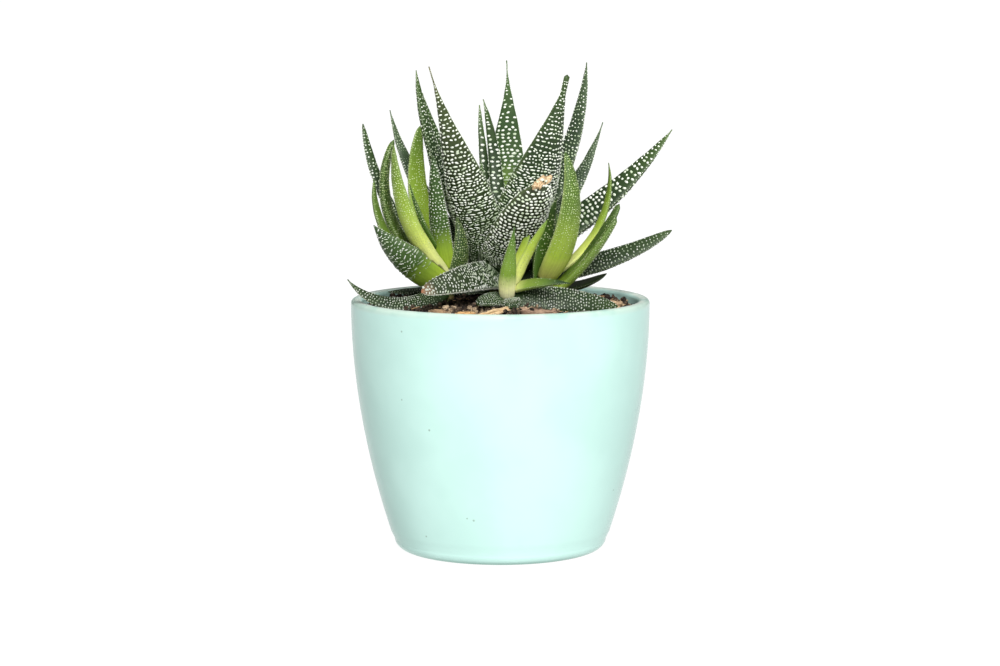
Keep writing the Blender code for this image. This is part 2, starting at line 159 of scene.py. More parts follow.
LEAF_ROWS = (
    ("centre_up", "front", 4.3, -94, 30, 43, 76, 22.6, 4.6, 0.96, 9, "pale_foot", "sparse"),
    ("right_low", "front", 6.4, -30, 10, 19, -3, 16.8, 4.1, 0.97, 32, "dark_ended", "sparse"),
    ("right_up", "front", 5.9, -30, -2, 66, 55, 21.6, 4.1, 0.52, 0, "pale", "sparse"),
    ("back", "front", 6.6, 60, -10, 55, 60, 16.8, 3.3, 0.43, 0, "pale", "sparse"),
    ("left_low", "front", 3.5, -150, 0, 8, -14, 8.5, 5.4, 0.5, -30, "shaded", "grainy"),
    ("right_flat", "front", 3.0, -80, 0, 4, -12, 7.5, 5.6, 0.5, 10, "shaded", "grainy"),
    ("front_left_drooping", "main", 6.9, -99, -52, 12, -14, 36.2, 8.4, 0.41, -57, "dry_tipped", "streaked"),
    ("right_lying", "front", 3.8, 1, 19, 0, -10, 28.4, 7.2, 0.58, 60, "dark", "lying"),
    ("over_rim", "left", 4.0, -143, -66, -31, 47, 28.8, 5.7, 1.01, -38, "dark", "lying"),
    ("front_up", "right", 8.7, -62, 25, 38, 114, 36.7, 8.3, 0.62, 4, "bright", "fine"),
    ("right_up", "right", 9.1, 11, -5, 26, 99, 35.2, 3.1, 0.65, 23, "yellow", "sparse"),
    ("right_mid", "right", 4.7, -3, 4, 39, 66, 29.3, 4.3, 0.3, 25, "middle", "sparse"),
    ("right_low", "right", 3.4, -18, 0, 40, 60, 27.6, 5.1, 0.35, 12, "olive", "fine"),
    ("left_up", "right", 6.0, 170, 0, 90, 111, 23.8, 6.4, 0.8, -40, "deep", "late"),
    ("back", "right", 5.0, 75, 0, 50, 72, 22.0, 5.0, 0.8, 0, "middle", "fine"),
    ("left_broad", "left", 6.5, -160, 3, 27, 53, 24.9, 11.5, 0.94, 35, "bright_to_dark", "banded"),
    ("front_up", "left", 9.0, -109, -9, 67, 85, 32.5, 6.1, 0.62, -6, "bright_to_dark", "late"),
    ("right_short", "left", 5.5, -40, -1, 53, 116, 19.5, 5.8, 0.7, -1, "dusky", "fine"),
    ("left_yellow", "left", 9.2, -150, -4, 44, 91, 38.0, 9.3, 0.82, -4, "yellow", "fine"),
    ("front_narrow", "left", 12.7, -128, -6, 44, 71, 24.8, 2.5, 0.65, -22, "deep", "sparse"),
    ("left_outer", "left", 6.6, -176, 0, 20, 94, 34.9, 4.1, 0.57, -30, "olive", "sparse"),
    ("left_tall", "left", 8.3, 172, 1, 25, 116, 42.3, 6.1, 0.38, -7, "middle", "fine"),
    ("back_broad", "left", 10.3, 130, 1, 41, 109, 40.7, 7.0, 0.49, -2, "fresh", "fine"),
    ("back_outer", "left", 8.6, 152, 1, 36, 81, 47.2, 3.9, 0.48, -29, "dark", "dotted"),
    ("back_low", "left", 6.0, 85, 0, 30, 60, 20.0, 5.0, 0.8, 0, "middle", "fine"),
    ("front_short", "main", 7.5, -73, 9, 46, 42, 37.0, 16.1, 0.31, 5, "plump", "crowded"),
    ("front_left_tall", "main", 7.3, -128, -1, 63, 66, 62.6, 13.6, 1.78, 23, "brown", "wavy"),
    ("front_right_tall", "main", 13.1, -42, 8, 60, 75, 51.9, 17.0, 1.39, -17, "dark", "ridged"),
    ("right_low", "main", 7.8, 1, 3, -2, 32, 45.5, 6.9, 0.54, 46, "dark", "dotted"),
    ("right_small", "main", 6.3, 14, 8, -25, 28, 28.6, 5.4, 0.57, 17, "dusky", "bare"),
    ("right_long", "main", 11.2, 8, -1, 24, 53, 56.6, 9.8, 0.91, 35, "green", "big"),
    ("right_back_tall", "main", 12.9, 18, -1, 47, 87, 56.6, 6.8, 0.84, 38, "grey", "dotted"),
    ("back_right_grey", "main", 9.6, 42, 1, 27, 66, 52.6, 7.1, 1.14, 21, "grey", "faint"),
    ("back_left_low", "main", 3.5, 176, 0, -2, -1, 27.6, 3.8, 0.61, -34, "dark", "faint"),
    ("back_left_grey", "main", 8.0, 160, 0, 35, 77, 53.1, 6.2, 0.9, -30, "grey", "faint"),
    ("left_tall", "main", 11.9, 178, 0, 52, 85, 54.7, 7.2, 0.78, -23, "green", "dotted"),
    ("back_left_mid", "main", 13.9, 158, 0, 51, 78, 46.7, 8.4, 0.92, -21, "green", "dotted"),
    ("back_slim_left", "main", 15.0, 125, -23, 74, 75, 38.8, 3.1, 0.64, 0, "green", "spaced"),
    ("back_slim_right", "main", 13.1, 105, -5, 99, 28, 48.1, 4.0, 0.9, 1, "green", "spaced"),
    ("back_tall", "main", 15.9, 80, 14, 67, 46, 57.6, 10.9, 1.9, -5, "lit_foot", "spaced"),
    ("back_low_middle", "main", 5.0, 95, 0, 20, 38, 36.0, 9.0, 1.0, 0, "dark", "dotted"),
    ("back_low_right", "main", 4.0, 58, 0, 14, 30, 33.0, 8.0, 1.0, 0, "dark", "dotted"),
    ("back_low_left", "main", 8.0, 161, 0, 56, 64, 36.0, 9.0, 0.8, 0, "shaded", "faint"),
    ("heart_left", "main", 17.0, -170, 0, 80, 86, 22.0, 5.0, 0.8, 0, "lit_foot", "dotted"),
    ("heart_right", "main", 17.0, 10, 0, 80, 86, 20.0, 4.6, 0.8, 0, "lit_foot", "dotted"),
)
LEAVES = tuple(Leaf(*row) for row in LEAF_ROWS)

# The blade, as in the CAD: where it is widest, its foot's share of that width, the width of its tip,
# how deep its keeled and its hollow face are, and the width under which it gets thinner.
SWELL_END = 0.22
FOOT_SHARE = 0.8
TIP_WIDTH = 0.35 * MM
BLUNT_TIPS = {"main_leaf_front_right_tall": 1.7 * MM, "main_leaf_front_short": 5.6 * MM}
OUTER_DEPTH = 0.3 * MM
OUTER_BULGE = 0.3
INNER_DEPTH = 0.3 * MM
INNER_BULGE = 0.06
THIN_WIDTH = 2.0 * MM
MIDLINE_STEPS = 160

# Beyond the CAD: the gap between cut blades, the ripple of the skin, how far a tip is rounded as a
# share of its width, and the width from which an end is flat and has pearls of its own.
CUT_GAP = 0.12 * MM
RIPPLE = 0.12 * MM
RIPPLE_SCALE = 260.0
TIP_CAP = 0.35
FLAT_END = 3.0 * MM
END_LIFT = 0.12 * MM


class Pearls(NamedTuple):
    """A way of setting pearls: sizes along the leaf in mm, then how they are spread."""

    foot: float
    lower: float
    upper: float
    tip: float
    start: float
    row: float
    gap: float
    dash: float
    wave: float
    inner: float
    teeth: float
    loose: float
    worn_and_shaded: float


# Sizes: where pearls begin, then at PEARL_PLACES of the length. start: share of the length where
# they begin. row and gap: distance to the next, in pearl sizes. dash: the longest pearl across the
# blade, in sizes. wave: how far a row wanders, mm. inner: share of pearls on the hollow face.
# teeth: size of the beads along both margins, mm. loose: how much further apart they stand near the
# tip. The last: least share of duller pearls, partly worn and partly painted shade.
PEARLS = {
    "wavy": Pearls(0.22, 0.54, 0.78, 0.40, 0.10, 1.36, 0.28, 4.8, 0.7, 0.8, 0.32, 0.4, 0.0),
    "ridged": Pearls(0.24, 0.52, 0.68, 0.42, 0.10, 1.38, 0.32, 4.4, 0.7, 0.8, 0.32, 0.4, 0.0),
    "crowded": Pearls(0.20, 0.54, 0.94, 0.92, 0.18, 1.24, 0.18, 2.8, 0.8, 0.8, 0.32, 0.0, 0.0),
    "spaced": Pearls(0.50, 0.90, 0.94, 0.50, 0.10, 1.34, 0.48, 2.2, 0.7, 1.0, 0.32, 0.4, 0.0),
    "dotted": Pearls(0.30, 0.54, 0.58, 0.42, 0.12, 1.44, 0.54, 2.2, 0.6, 1.0, 0.28, 0.5, 0.5),
    "lying": Pearls(0.28, 0.44, 0.50, 0.42, 0.06, 1.50, 0.60, 2.2, 0.4, 1.0, 0.26, 0.1, 0.1),
    "big": Pearls(0.60, 1.00, 1.08, 0.60, 0.10, 1.24, 0.34, 2.2, 0.7, 1.0, 0.32, 0.3, 0.0),
    "banded": Pearls(0.26, 0.44, 0.50, 0.40, 0.30, 2.10, 0.22, 9.0, 1.0, 0.6, 0.26, 0.1, 0.0),
    "streaked": Pearls(0.24, 0.48, 0.58, 0.54, 0.16, 1.26, 0.26, 4.6, 0.7, 0.9, 0.42, 0.1, 0.0),
    "faint": Pearls(0.24, 0.38, 0.40, 0.32, 0.16, 1.60, 0.80, 1.8, 0.5, 1.0, 0.26, 0.3, 0.7),
    "late": Pearls(0.24, 0.38, 0.48, 0.42, 0.30, 1.70, 0.75, 1.8, 0.5, 0.6, 0.24, 0.2, 0.2),
    "fine": Pearls(0.20, 0.28, 0.34, 0.34, 0.22, 1.90, 1.00, 1.5, 0.4, 0.7, 0.24, 0.0, 0.4),
    "sparse": Pearls(0.18, 0.24, 0.28, 0.28, 0.25, 2.70, 2.10, 1.2, 0.3, 0.4, 0.20, 0.0, 0.4),
    "grainy": Pearls(0.24, 0.32, 0.34, 0.34, 0.08, 1.60, 0.80, 1.6, 0.3, 1.0, 0.22, 0.0, 0.2),
    "bare": Pearls(0.18, 0.22, 0.22, 0.22, 0.60, 4.50, 4.00, 1.1, 0.2, 0.3, 0.18, 0.0, 0.9),
}
PEARL_PLACES = (0.35, 0.65, 1.0)

# A pearl's height as a share of its size, how deep it sits as a share of its height, its greatest
# size as a share of the blade's width, and how near to its middle the cut skin has to be.
PEARL_RISE = 0.48
PEARL_SINK = 0.32
PEARL_TO_WIDTH = 0.42
SKIN_NEAR = 0.3 * MM

# Shares of the blade's length: over the first runs pearls fade in, thin out and turn duller, partly worn
# and partly painted shade; they are longest at DASH_AT, stand looser past LOOSE_FROM, and end at
# LAST_PEARL, or later on a flat end.
FADE_FIRST, FADE_RUN = 0.35, 0.12
THIN_MORE, THIN_RUN = 1.4, 0.22
WORN_AND_SHADED_RUN = 0.36
DASH_AT, DASH_RUN, DASH_LEAST, DASH_CHANCE = 0.3, 0.4, 0.28, 0.65
LOOSE_FROM, LOOSE_RUN = 0.5, 0.25
LAST_PEARL, LAST_BEFORE_FLAT = 0.985, 0.998
TEETH_FROM, TEETH_TO = 0.06, 0.975
WAVE_ACROSS, WAVE_ALONG = 1.5 * MM, 2.6 * MM

# Painted shade: leaves grow darker towards the soil. Heights in mm, each with the share of full tone there.
LOW_PAINTED_SHADE = ((66.0, 0.62), (78.0, 0.62), (88.0, 0.78), (97.0, 1.0))

# The dry cap of the short front leaf, as in the CAD: how far it tips round the end of the leaf, in
# degrees, and half its width and height, mm.
HUSK_TILT = 24.0
HUSK_HALF = (3.5, 1.4)

# Loose bark on the soil: x, y, length, width, thickness in mm, turn in degrees, how much higher the
# far end along the turn lies, mm, and the colours of its cracks and its fibres.
CHIPS = {
    "bark_chip_orange": (-9.2, -32.4, 5.0, 2.4, 1.7, 14, 0.0, (150, 106, 66), (222, 180, 124)),
    "bark_chip_tan": (-0.8, -31.6, 9.4, 1.4, 1.1, 20, 2.2, (186, 146, 102), (240, 214, 172)),
    "bark_chip_brown": (9.8, -31.6, 8.4, 3.2, 2.3, -12, 0.0, (104, 80, 66), (186, 156, 132)),
    "bark_chip_right": (30.3, -14.2, 4.6, 3.0, 2.5, 60, 0.0, (136, 108, 82), (206, 178, 144)),
    "bark_chip_left": (-15.2, -29.4, 4.4, 2.6, 1.9, -25, 0.0, (98, 76, 58), (180, 148, 114)),
}

# The camera, fitted to the pot's rim, foot and outline in the photograph: metres, degrees, and the
# shift in pixels. Then the lights: how wide each is, and the key's turn about X, Y and Z, degrees.
IMAGE_WIDTH = 1000
SHIFT_PIXELS = -0.3
SENSOR_WIDTH = 36.0
CAMERA_PLACE = (0.0, -0.784, 0.1542)
CAMERA_PITCH = 6.99
KEY_ANGLE = 30.0
KEY_TURN = (56.0, 0.0, 9.0)
TOP_ANGLE = 80.0


def screen(red, green, blue):
    """Scene colour for a colour as a screen shows it, in steps from 0 to 255."""
    parts = [part / 255.0 for part in (red, green, blue)]
    return tuple(((part + 0.055) / 1.055) ** 2.4 if part > 0.04 else part / 12.92 for part in parts)


# Shading.


class Signal:
    """A socket of a material's nodes that can be used in sums. Each sum adds a Math node."""

    def __init__(self, shade, socket):
        self.shade = shade
        self.socket = socket

    def math(self, operation, first, second):
        return self.shade.node("Math", {"operation": operation}, {0: first, 1: second})

    def __add__(self, other):
        return self.math("ADD", self, other)

    def __radd__(self, other):
        return self.math("ADD", other, self)

    def __sub__(self, other):
        return self.math("SUBTRACT", self, other)

    def __rsub__(self, other):
        return self.math("SUBTRACT", other, self)

    def __mul__(self, other):
        return self.math("MULTIPLY", self, other)

    def __rmul__(self, other):
        return self.math("MULTIPLY", other, self)

    def __lt__(self, other):
        return self.math("LESS_THAN", self, other)

    def __gt__(self, other):
        return self.math("GREATER_THAN", self, other)

    def __or__(self, other):
        return self.math("MAXIMUM", self, other)


class Shade:
    """A material on a Principled shader, with one method that adds any other node."""

    def __init__(self, name, roughness, specular=0.5):
        self.material = bpy.data.materials.new(name)
        self.material.use_nodes = True
        self.tree = self.material.node_tree
        self.shader = self.tree.nodes["Principled BSDF"]
        self.paint({"Roughness": roughness, "Specular IOR Level": specular})

    def node(self, kind, settings=None, sockets=None, output=0):
        made = self.tree.nodes.new("ShaderNode" + kind)
        for key, value in (settings or {}).items():
            if key == "stops":
                self.set_stops(made.color_ramp, value)
            else:
                setattr(made, key, value)
        self.feed(made, sockets or {})
        return Signal(self, made.outputs[output])

    def feed(self, node, sockets):
        for key, value in sockets.items():
            if isinstance(value, Signal):
                self.tree.links.new(value.socket, node.inputs[key])
            else:
                node.inputs[key].default_value = value

    def paint(self, sockets):
        self.feed(self.shader, sockets)

    def set_stops(self, ramp, stops):
        while len(ramp.elements) < len(stops):
            ramp.elements.new(0.5)
        for element, (place, colour) in zip(ramp.elements, stops):
            element.position = place
            element.color = (*colour, 1.0)

    def blend(self, factor, first, second):
        def whole(colour):
            return colour if isinstance(colour, Signal) else (*colour, 1.0)

        return self.node("Mix", {"data_type": "RGBA"}, {0: factor, 6: whole(first), 7: whole(second)}, 2)

    def place(self):
        return self.node("TexCoord", output="Object")

    def grain(self, scale, detail=2.0, where=None, roughness=0.5):
        sockets = {"Vector": where or self.place(), "Scale": scale, "Detail": detail}
        sockets["Roughness"] = roughness
        return self.node("TexNoise", {}, sockets)

    def axis(self, vector, index):
        return self.node("SeparateXYZ", {}, {0: vector}, index)

    def step(self, value, low, high):
        """0 below low, 1 above high, smooth between."""
        settings = {"interpolation_type": "SMOOTHSTEP"}
        return self.node("MapRange", settings, {0: value, 1: low, 2: high, 3: 0.0, 4: 1.0})

    def tone(self, colour, value):
        return self.node("HueSaturation", {}, {"Color": colour, "Value": value})

    def relief(self, height, distance, strength):
        sockets = {"Height": height, "Distance": distance, "Strength": strength}
        self.paint({"Normal": self.node("Bump", {}, sockets)})


def glaze_shade(settings):
    """Thick mint glaze: creamier on the lip, faintly cloudy, with a few pinholes; painted light on the
    shaded inside, painted shade on the lip's outer edge and a painted shadow round the foot.
    """
    shade = Shade("mint_glaze", settings.gloss, 0.06)
    place = shade.place()
    height = shade.axis(place, 2)
    rim = settings.height
    cloud = shade.grain(38.0, 3.0, place)
    deep = tuple(settings.glaze)
    pale = tuple(min(1.0, part * 1.04 + 0.02) for part in deep)
    colour = shade.blend(shade.step(cloud, 0.35, 0.65), deep, pale)
    lip = shade.step(height, rim - LIP_BAND, rim)
    lip = lip * shade.step(shade.grain(160.0, 2.0, place), 0.25, 0.6)
    out = shade.node("VectorMath", {"operation": "MULTIPLY"}, {0: place, 1: (1.0, 1.0, 0.0)})
    out = shade.node("VectorMath", {"operation": "LENGTH"}, {0: out}, "Value")
    # Painted light: inside the pot the glaze is lighter than outside, to brighten the shaded inner wall.
    wall_inside = POT_HIGH.x - settings.wall
    inside = 1.0 - shade.step(out, wall_inside, wall_inside + INSIDE_FADE)
    above = height > INSIDE_FROM
    colour = shade.blend(inside * above, colour, tuple(settings.inside_glaze_painted_light))
    # Painted shadow: the glaze is darker just over the foot, where the pot meets the floor.
    foot_shadow = 1.0 - shade.step(height, *FOOT_SHADOW_BAND)
    colour = shade.blend(foot_shadow * 0.75, colour, screen(*FOOT_PAINTED_SHADOW))
    colour = shade.blend(lip * 0.75 * (1.0 - inside), colour, tuple(settings.thin_glaze))
    # Painted shade: a darker band on the lip's rounded outer edge.
    edge = shade.step(out, POT_HIGH.x - EDGE_IN[0], POT_HIGH.x - EDGE_IN[1])
    edge = edge * shade.step(height, rim - LIP_BAND, rim - EDGE_DOWN)
    colour = shade.blend(edge * 0.5, colour, screen(*EDGE_PAINTED_SHADE))
    marks = None
    for x, z, radius in PINHOLES:
        spot = (x * MM, -math.sqrt(side_radius(z * MM) ** 2 - (x * MM) ** 2), z * MM)
        away = shade.node("VectorMath", {"operation": "DISTANCE"}, {0: place, 1: spot}, "Value")
        mark = away < radius * MM
        marks = mark if marks is None else marks | mark
    colour = shade.blend(marks * 0.5, colour, screen(*PINHOLE_GLAZE))
    shade.paint({"Base Color": colour})
    shade.paint({"Roughness": settings.gloss + 0.06 * shade.grain(420.0, 2.0, place)})
    shade.relief(shade.grain(90.0, 2.0, place), 0.15 * MM, 0.25)
    return shade.material


def soil_shade(name, dark, light):
    """Damp potting soil: near-black peat with browner grains."""
    shade = Shade(name, 0.92, 0.25)
    place = shade.place()
    grains = shade.grain(900.0, 4.0, place, 0.65)
    patches = shade.grain(210.0, 2.0, place)
    colour = shade.blend(shade.step(grains, 0.42, 0.66), dark, light)
    shade.paint({"Base Color": shade.tone(colour, 0.6 + 0.8 * patches)})
    shade.relief(grains, 0.5 * MM, 0.7)
    return shade.material


def bark_shade(name, deep, pale):
    """Split bark or straw: fibres along the piece's own length, with darker cracks."""
    shade = Shade(name, 0.85, 0.25)
    place = shade.node("Attribute", {"attribute_name": "fibre"}, output="Vector")
    lines = shade.grain(5.0, 4.0, place, 0.6)
    colour = shade.blend(shade.step(lines, 0.36, 0.62), deep, pale)
    speckle = shade.grain(1400.0, 2.0)
    shade.paint({"Base Color": shade.tone(colour, 0.7 + 0.6 * speckle)})
    shade.relief(lines, 0.3 * MM, 0.8)
    return shade.material


# Colours along each kind of leaf from foot to tip: a share of its length, then the colour there as a
# screen shows it.
SKINS = {
    "dark": (
        (0.0, 50, 77, 29), (0.13, 36, 56, 23), (0.6, 42, 60, 33),
        (0.85, 54, 74, 40), (1.0, 66, 86, 48),
    ),
    "brown": (
        (0.0, 50, 76, 31), (0.15, 40, 59, 25), (0.5, 49, 61, 34),
        (0.85, 67, 79, 45), (1.0, 112, 110, 72),
    ),
    "plump": ((0.0, 45, 68, 29), (0.15, 38, 56, 25), (0.6, 49, 59, 36), (1.0, 59, 68, 45)),
    "green": (
        (0.0, 86, 121, 36), (0.14, 41, 63, 27), (0.6, 40, 59, 31),
        (0.9, 65, 88, 45), (1.0, 101, 124, 70),
    ),
    "lit_foot": (
        (0.0, 120, 156, 52), (0.26, 108, 136, 56), (0.38, 56, 82, 38),
        (0.6, 46, 70, 34), (1.0, 82, 108, 62),
    ),
    "grey": ((0.0, 60, 81, 40), (0.2, 52, 69, 43), (0.7, 57, 74, 52), (1.0, 84, 103, 72)),
    "middle": ((0.0, 142, 167, 51), (0.2, 87, 114, 38), (0.6, 63, 87, 32), (1.0, 80, 104, 53)),
    "dusky": ((0.0, 96, 117, 35), (0.22, 56, 77, 32), (0.7, 50, 69, 34), (1.0, 61, 80, 40)),
    "deep": ((0.0, 68, 99, 27), (0.5, 59, 88, 27), (1.0, 54, 81, 31)),
    "shaded": ((0.0, 49, 72, 31), (0.5, 43, 67, 31), (1.0, 38, 58, 29)),
    "fresh": ((0.0, 186, 206, 84), (0.25, 138, 166, 54), (0.7, 120, 148, 50), (1.0, 86, 114, 50)),
    "olive": ((0.0, 186, 206, 84), (0.25, 112, 138, 50), (0.7, 92, 118, 46), (1.0, 78, 104, 48)),
    "bright": ((0.0, 226, 228, 124), (0.25, 152, 176, 60), (0.6, 88, 114, 44), (1.0, 74, 102, 48)),
    "yellow": (
        (0.0, 234, 234, 164), (0.3, 200, 212, 104), (0.55, 142, 168, 58),
        (0.8, 104, 130, 48), (1.0, 100, 122, 62),
    ),
    "pale": ((0.0, 240, 236, 196), (0.25, 216, 222, 126), (0.6, 166, 186, 66), (1.0, 100, 132, 48)),
    "pale_foot": ((0.0, 255, 250, 206), (0.2, 236, 236, 170), (0.4, 122, 152, 56), (1.0, 54, 86, 36)),
    "dark_ended": (
        (0.0, 224, 226, 144), (0.3, 122, 146, 58), (0.6, 92, 118, 48),
        (0.82, 44, 66, 34), (1.0, 40, 60, 32),
    ),
    "bright_to_dark": ((0.0, 176, 200, 64), (0.24, 132, 160, 50), (0.42, 60, 86, 35), (1.0, 50, 74, 36)),
    "dry_tipped": (
        (0.0, 52, 78, 38), (0.5, 48, 64, 38), (0.9, 58, 70, 46),
        (0.975, 120, 100, 74), (1.0, 168, 112, 76),
    ),
}
# Offset leaves whose pearls are as white as the main rosette's, and skins that get painted shade near
# the soil and are less streaked.
WHITE_PEARLED = ("dark", "shaded", "dry_tipped", "bright_to_dark")
DARK_SKINS = ("dark", "shaded", "dry_tipped", "brown", "plump", "green", "grey")
# How strongly the margins show, and their colour.
SKIN_EDGES = {
    "dry_tipped": (0.8, (220, 222, 206)),
    "bright": (0.2, (196, 206, 140)),
    "fresh": (0.2, (190, 206, 130)),
}
PLAIN_EDGE = (0.2, (120, 140, 90))


def leaf_shade(kind, settings):
    """Leaf skin: colour along the blade, faint streaks, small cells and a satin surface."""
    shade = Shade("leaf_" + kind, 0.48, 0.22)
    blade = shade.node("Attribute", {"attribute_name": "blade"}, output="Vector")
    along = shade.axis(blade, 1)
    across = shade.axis(blade, 0)
    place = shade.place()
    blotch = shade.grain(260.0, 2.0, place)
    shifted = along + 0.12 * (blotch - 0.5)
    stops = [(spot, screen(*colour)) for spot, *colour in SKINS[kind]]
    colour = shade.node("ValToRGB", {"stops": stops}, {0: shifted})
    stretched = shade.node("VectorMath", {"operation": "MULTIPLY"}, {0: blade, 1: (9.0, 1.4, 0.0)})
    streaks = shade.grain(1.0, 3.0, stretched)
    cells = shade.grain(1500.0, 2.0, place)
    if kind in DARK_SKINS:
        tone = 0.55 + 0.36 * blotch + 0.3 * streaks + 0.24 * cells
        # Painted shade: dark skins grow darker towards the soil.
        tone = tone * (0.45 + 0.55 * low_painted_shade(shade, place))
    else:
        tone = 0.42 + 0.3 * blotch + 0.62 * streaks + 0.24 * cells
    if kind != "pale_foot":
        tone = tone * settings.lightness
    colour = shade.tone(colour, tone)
    strength, edge = SKIN_EDGES.get(kind, PLAIN_EDGE)
    margin = shade.step(across * across, 0.88, 0.99)
    colour = shade.blend(margin * strength, colour, screen(*edge))
    shade.paint({"Base Color": colour, "Roughness": 0.4 + 0.16 * cells})
    shade.relief(cells, 0.12 * MM, 0.35)
    return shade.material


def low_painted_shade(shade, place):
    """Share of its full tone that a surface has at its height: painted shade, darker near the soil."""
    low, high = LOW_PAINTED_SHADE[0][0], LOW_PAINTED_SHADE[-1][0]
    stops = [((height - low) / (high - low), (share,) * 3) for height, share in LOW_PAINTED_SHADE]
    sockets = {0: shade.axis(place, 2), 1: low * MM, 2: high * MM, 3: 0.0, 4: 1.0}
    span = shade.node("MapRange", {}, sockets)
    return shade.node("RGBToBW", {}, {0: shade.node("ValToRGB", {"stops": stops}, {0: span})})


def pearl_shade(name, colour, greener):
    """Chalky white tubercles, greener where they are small or worn, with painted shade near the soil."""
    shade = Shade(name, 0.55, 0.3)
    wear = shade.grain(520.0, 2.0)
    mixed = shade.blend(shade.step(wear, 0.42, 0.72), colour, greener)
    tone = 0.84 + 0.3 * shade.grain(1900.0, 1.0)
    # Painted shade: pearls grow darker towards the soil.
    shade.paint({"Base Color": shade.tone(mixed, tone * low_painted_shade(shade, shade.place()))})
    return shade.material


def stem_shade():
    """Short woody stems, ringed with the scars of shed leaves."""
    shade = Shade("stem", 0.7, 0.3)
    sockets = {"Vector": shade.place(), "Scale": 190.0, "Distortion": 3.0}
    ring = shade.node("RGBToBW", {}, {0: shade.node("TexWave", {"bands_direction": "Z"}, sockets)})
    shade.paint({"Base Color": shade.blend(ring, screen(86, 92, 48), screen(128, 112, 70))})
    shade.relief(ring, 0.3 * MM, 0.6)
    return shade.material


# Mesh helpers.


def to_mesh(name, bm):
    """Turns a bmesh into a mesh and frees it."""
    mesh = bpy.data.meshes.new(name)
    bm.to_mesh(mesh)
    bm.free()
    return mesh


def add_object(name, data):
    """Links a new object to the scene."""
    thing = bpy.data.objects.new(name, data)
    bpy.context.scene.collection.objects.link(thing)
    return thing


def add_piece(name, bm, materials, node):
    """Makes a bmesh a smooth piece of the root body that stands for its CAD node."""
    for face in bm.faces:
        face.smooth = True
    mesh = to_mesh(name, bm)
    for material in materials:
        mesh.materials.append(material)
    piece = add_object(name, mesh)
    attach(piece, "root")
    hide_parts(node)


class Scatter:
    """Adds small shapes to a bmesh in batches, because an operator slows as its bmesh grows."""

    LIMIT = 24

    def __init__(self, target, material=0):
        self.target = target
        self.material = material
        self.batch = bmesh.new()
        self.count = 0

    def bead(self, matrix, crumple=0.0):
        """A 20-sided ball of radius 1 under a matrix, with its points pushed about by noise."""
        made = bmesh.ops.create_icosphere(self.batch, subdivisions=1, radius=1.0, matrix=matrix)
        if crumple:
            for vertex in made["verts"]:
                vertex.co += noise.noise_vector(vertex.co * 900.0) * crumple
        self.added()

    def straw(self, matrix, thick, length):
        """A five-sided fibre that thins to half its thickness."""
        bmesh.ops.create_cone(
            self.batch, cap_ends=True, segments=5, radius1=thick, radius2=thick * 0.5, depth=length,
            matrix=matrix,
        )
        self.added()

    def added(self):
        self.count += 1
        if self.count == self.LIMIT:
            self.flush()

    def flush(self):
        for face in self.batch.faces:
            face.material_index = self.material
        mesh = bpy.data.meshes.new("batch")
        self.batch.to_mesh(mesh)
        self.target.from_mesh(mesh)
        bpy.data.meshes.remove(mesh)
        self.batch.clear()
        self.count = 0


def spin_profile(bm, profile, sides):
    """Turns a line of (radius, height) points once round the Z axis and closes its poles."""
    verts = [bm.verts.new((radius, 0.0, height)) for radius, height in profile]
    edges = [bm.edges.new(pair) for pair in zip(verts, verts[1:])]
    bmesh.ops.spin(
        bm, geom=verts + edges, cent=(0.0, 0.0, 0.0), axis=(0.0, 0.0, 1.0), dvec=(0.0, 0.0, 0.0),
        angle=2.0 * math.pi, steps=sides, use_merge=True, use_duplicate=False,
    )
    bmesh.ops.remove_doubles(bm, verts=bm.verts, dist=0.005 * MM)
    bmesh.ops.recalc_face_normals(bm, faces=bm.faces)


def side_radius(height):
    """Radius of the pot's outer side at a height over the rounded edge of the foot."""
    left = max(0.0, 1.0 - height / POT_CURVE_TOP)
    return POT_HIGH.x - POT_DRAW_IN * left**POT_CURVE_POWER


def soil_top(x, y, radius):
    """Height of the soil: a low mound with small bumps, as in the CAD."""
    out = min(1.0, math.hypot(x, y) / radius)
    crumb = noise.noise(Vector((x, y, 0.0)) / SOIL_CRUMB_SIZE) * SOIL_CRUMB * 2.0
    return SOIL_EDGE + SOIL_MOUND * (1.0 - out**3) + crumb


def stem_cone(crown, segments, grow, placed):
    """A bmesh with a stem's cone, at its place or about the origin, and the middle of its place."""
    x, y, radius, height, _ = CROWNS[crown]
    length = height * MM + STEM_DEPTH
    middle = Vector((x * MM, y * MM, GROUND - STEM_DEPTH + length / 2.0))
    bm = bmesh.new()
    bmesh.ops.create_cone(
        bm, cap_ends=True, segments=segments, depth=length,
        radius1=radius * MM + grow, radius2=(radius - STEM_TAPER) * MM + grow,
        matrix=Matrix.Translation(middle) if placed else Matrix.Identity(4),
    )
    return bm, middle


# Leaves.


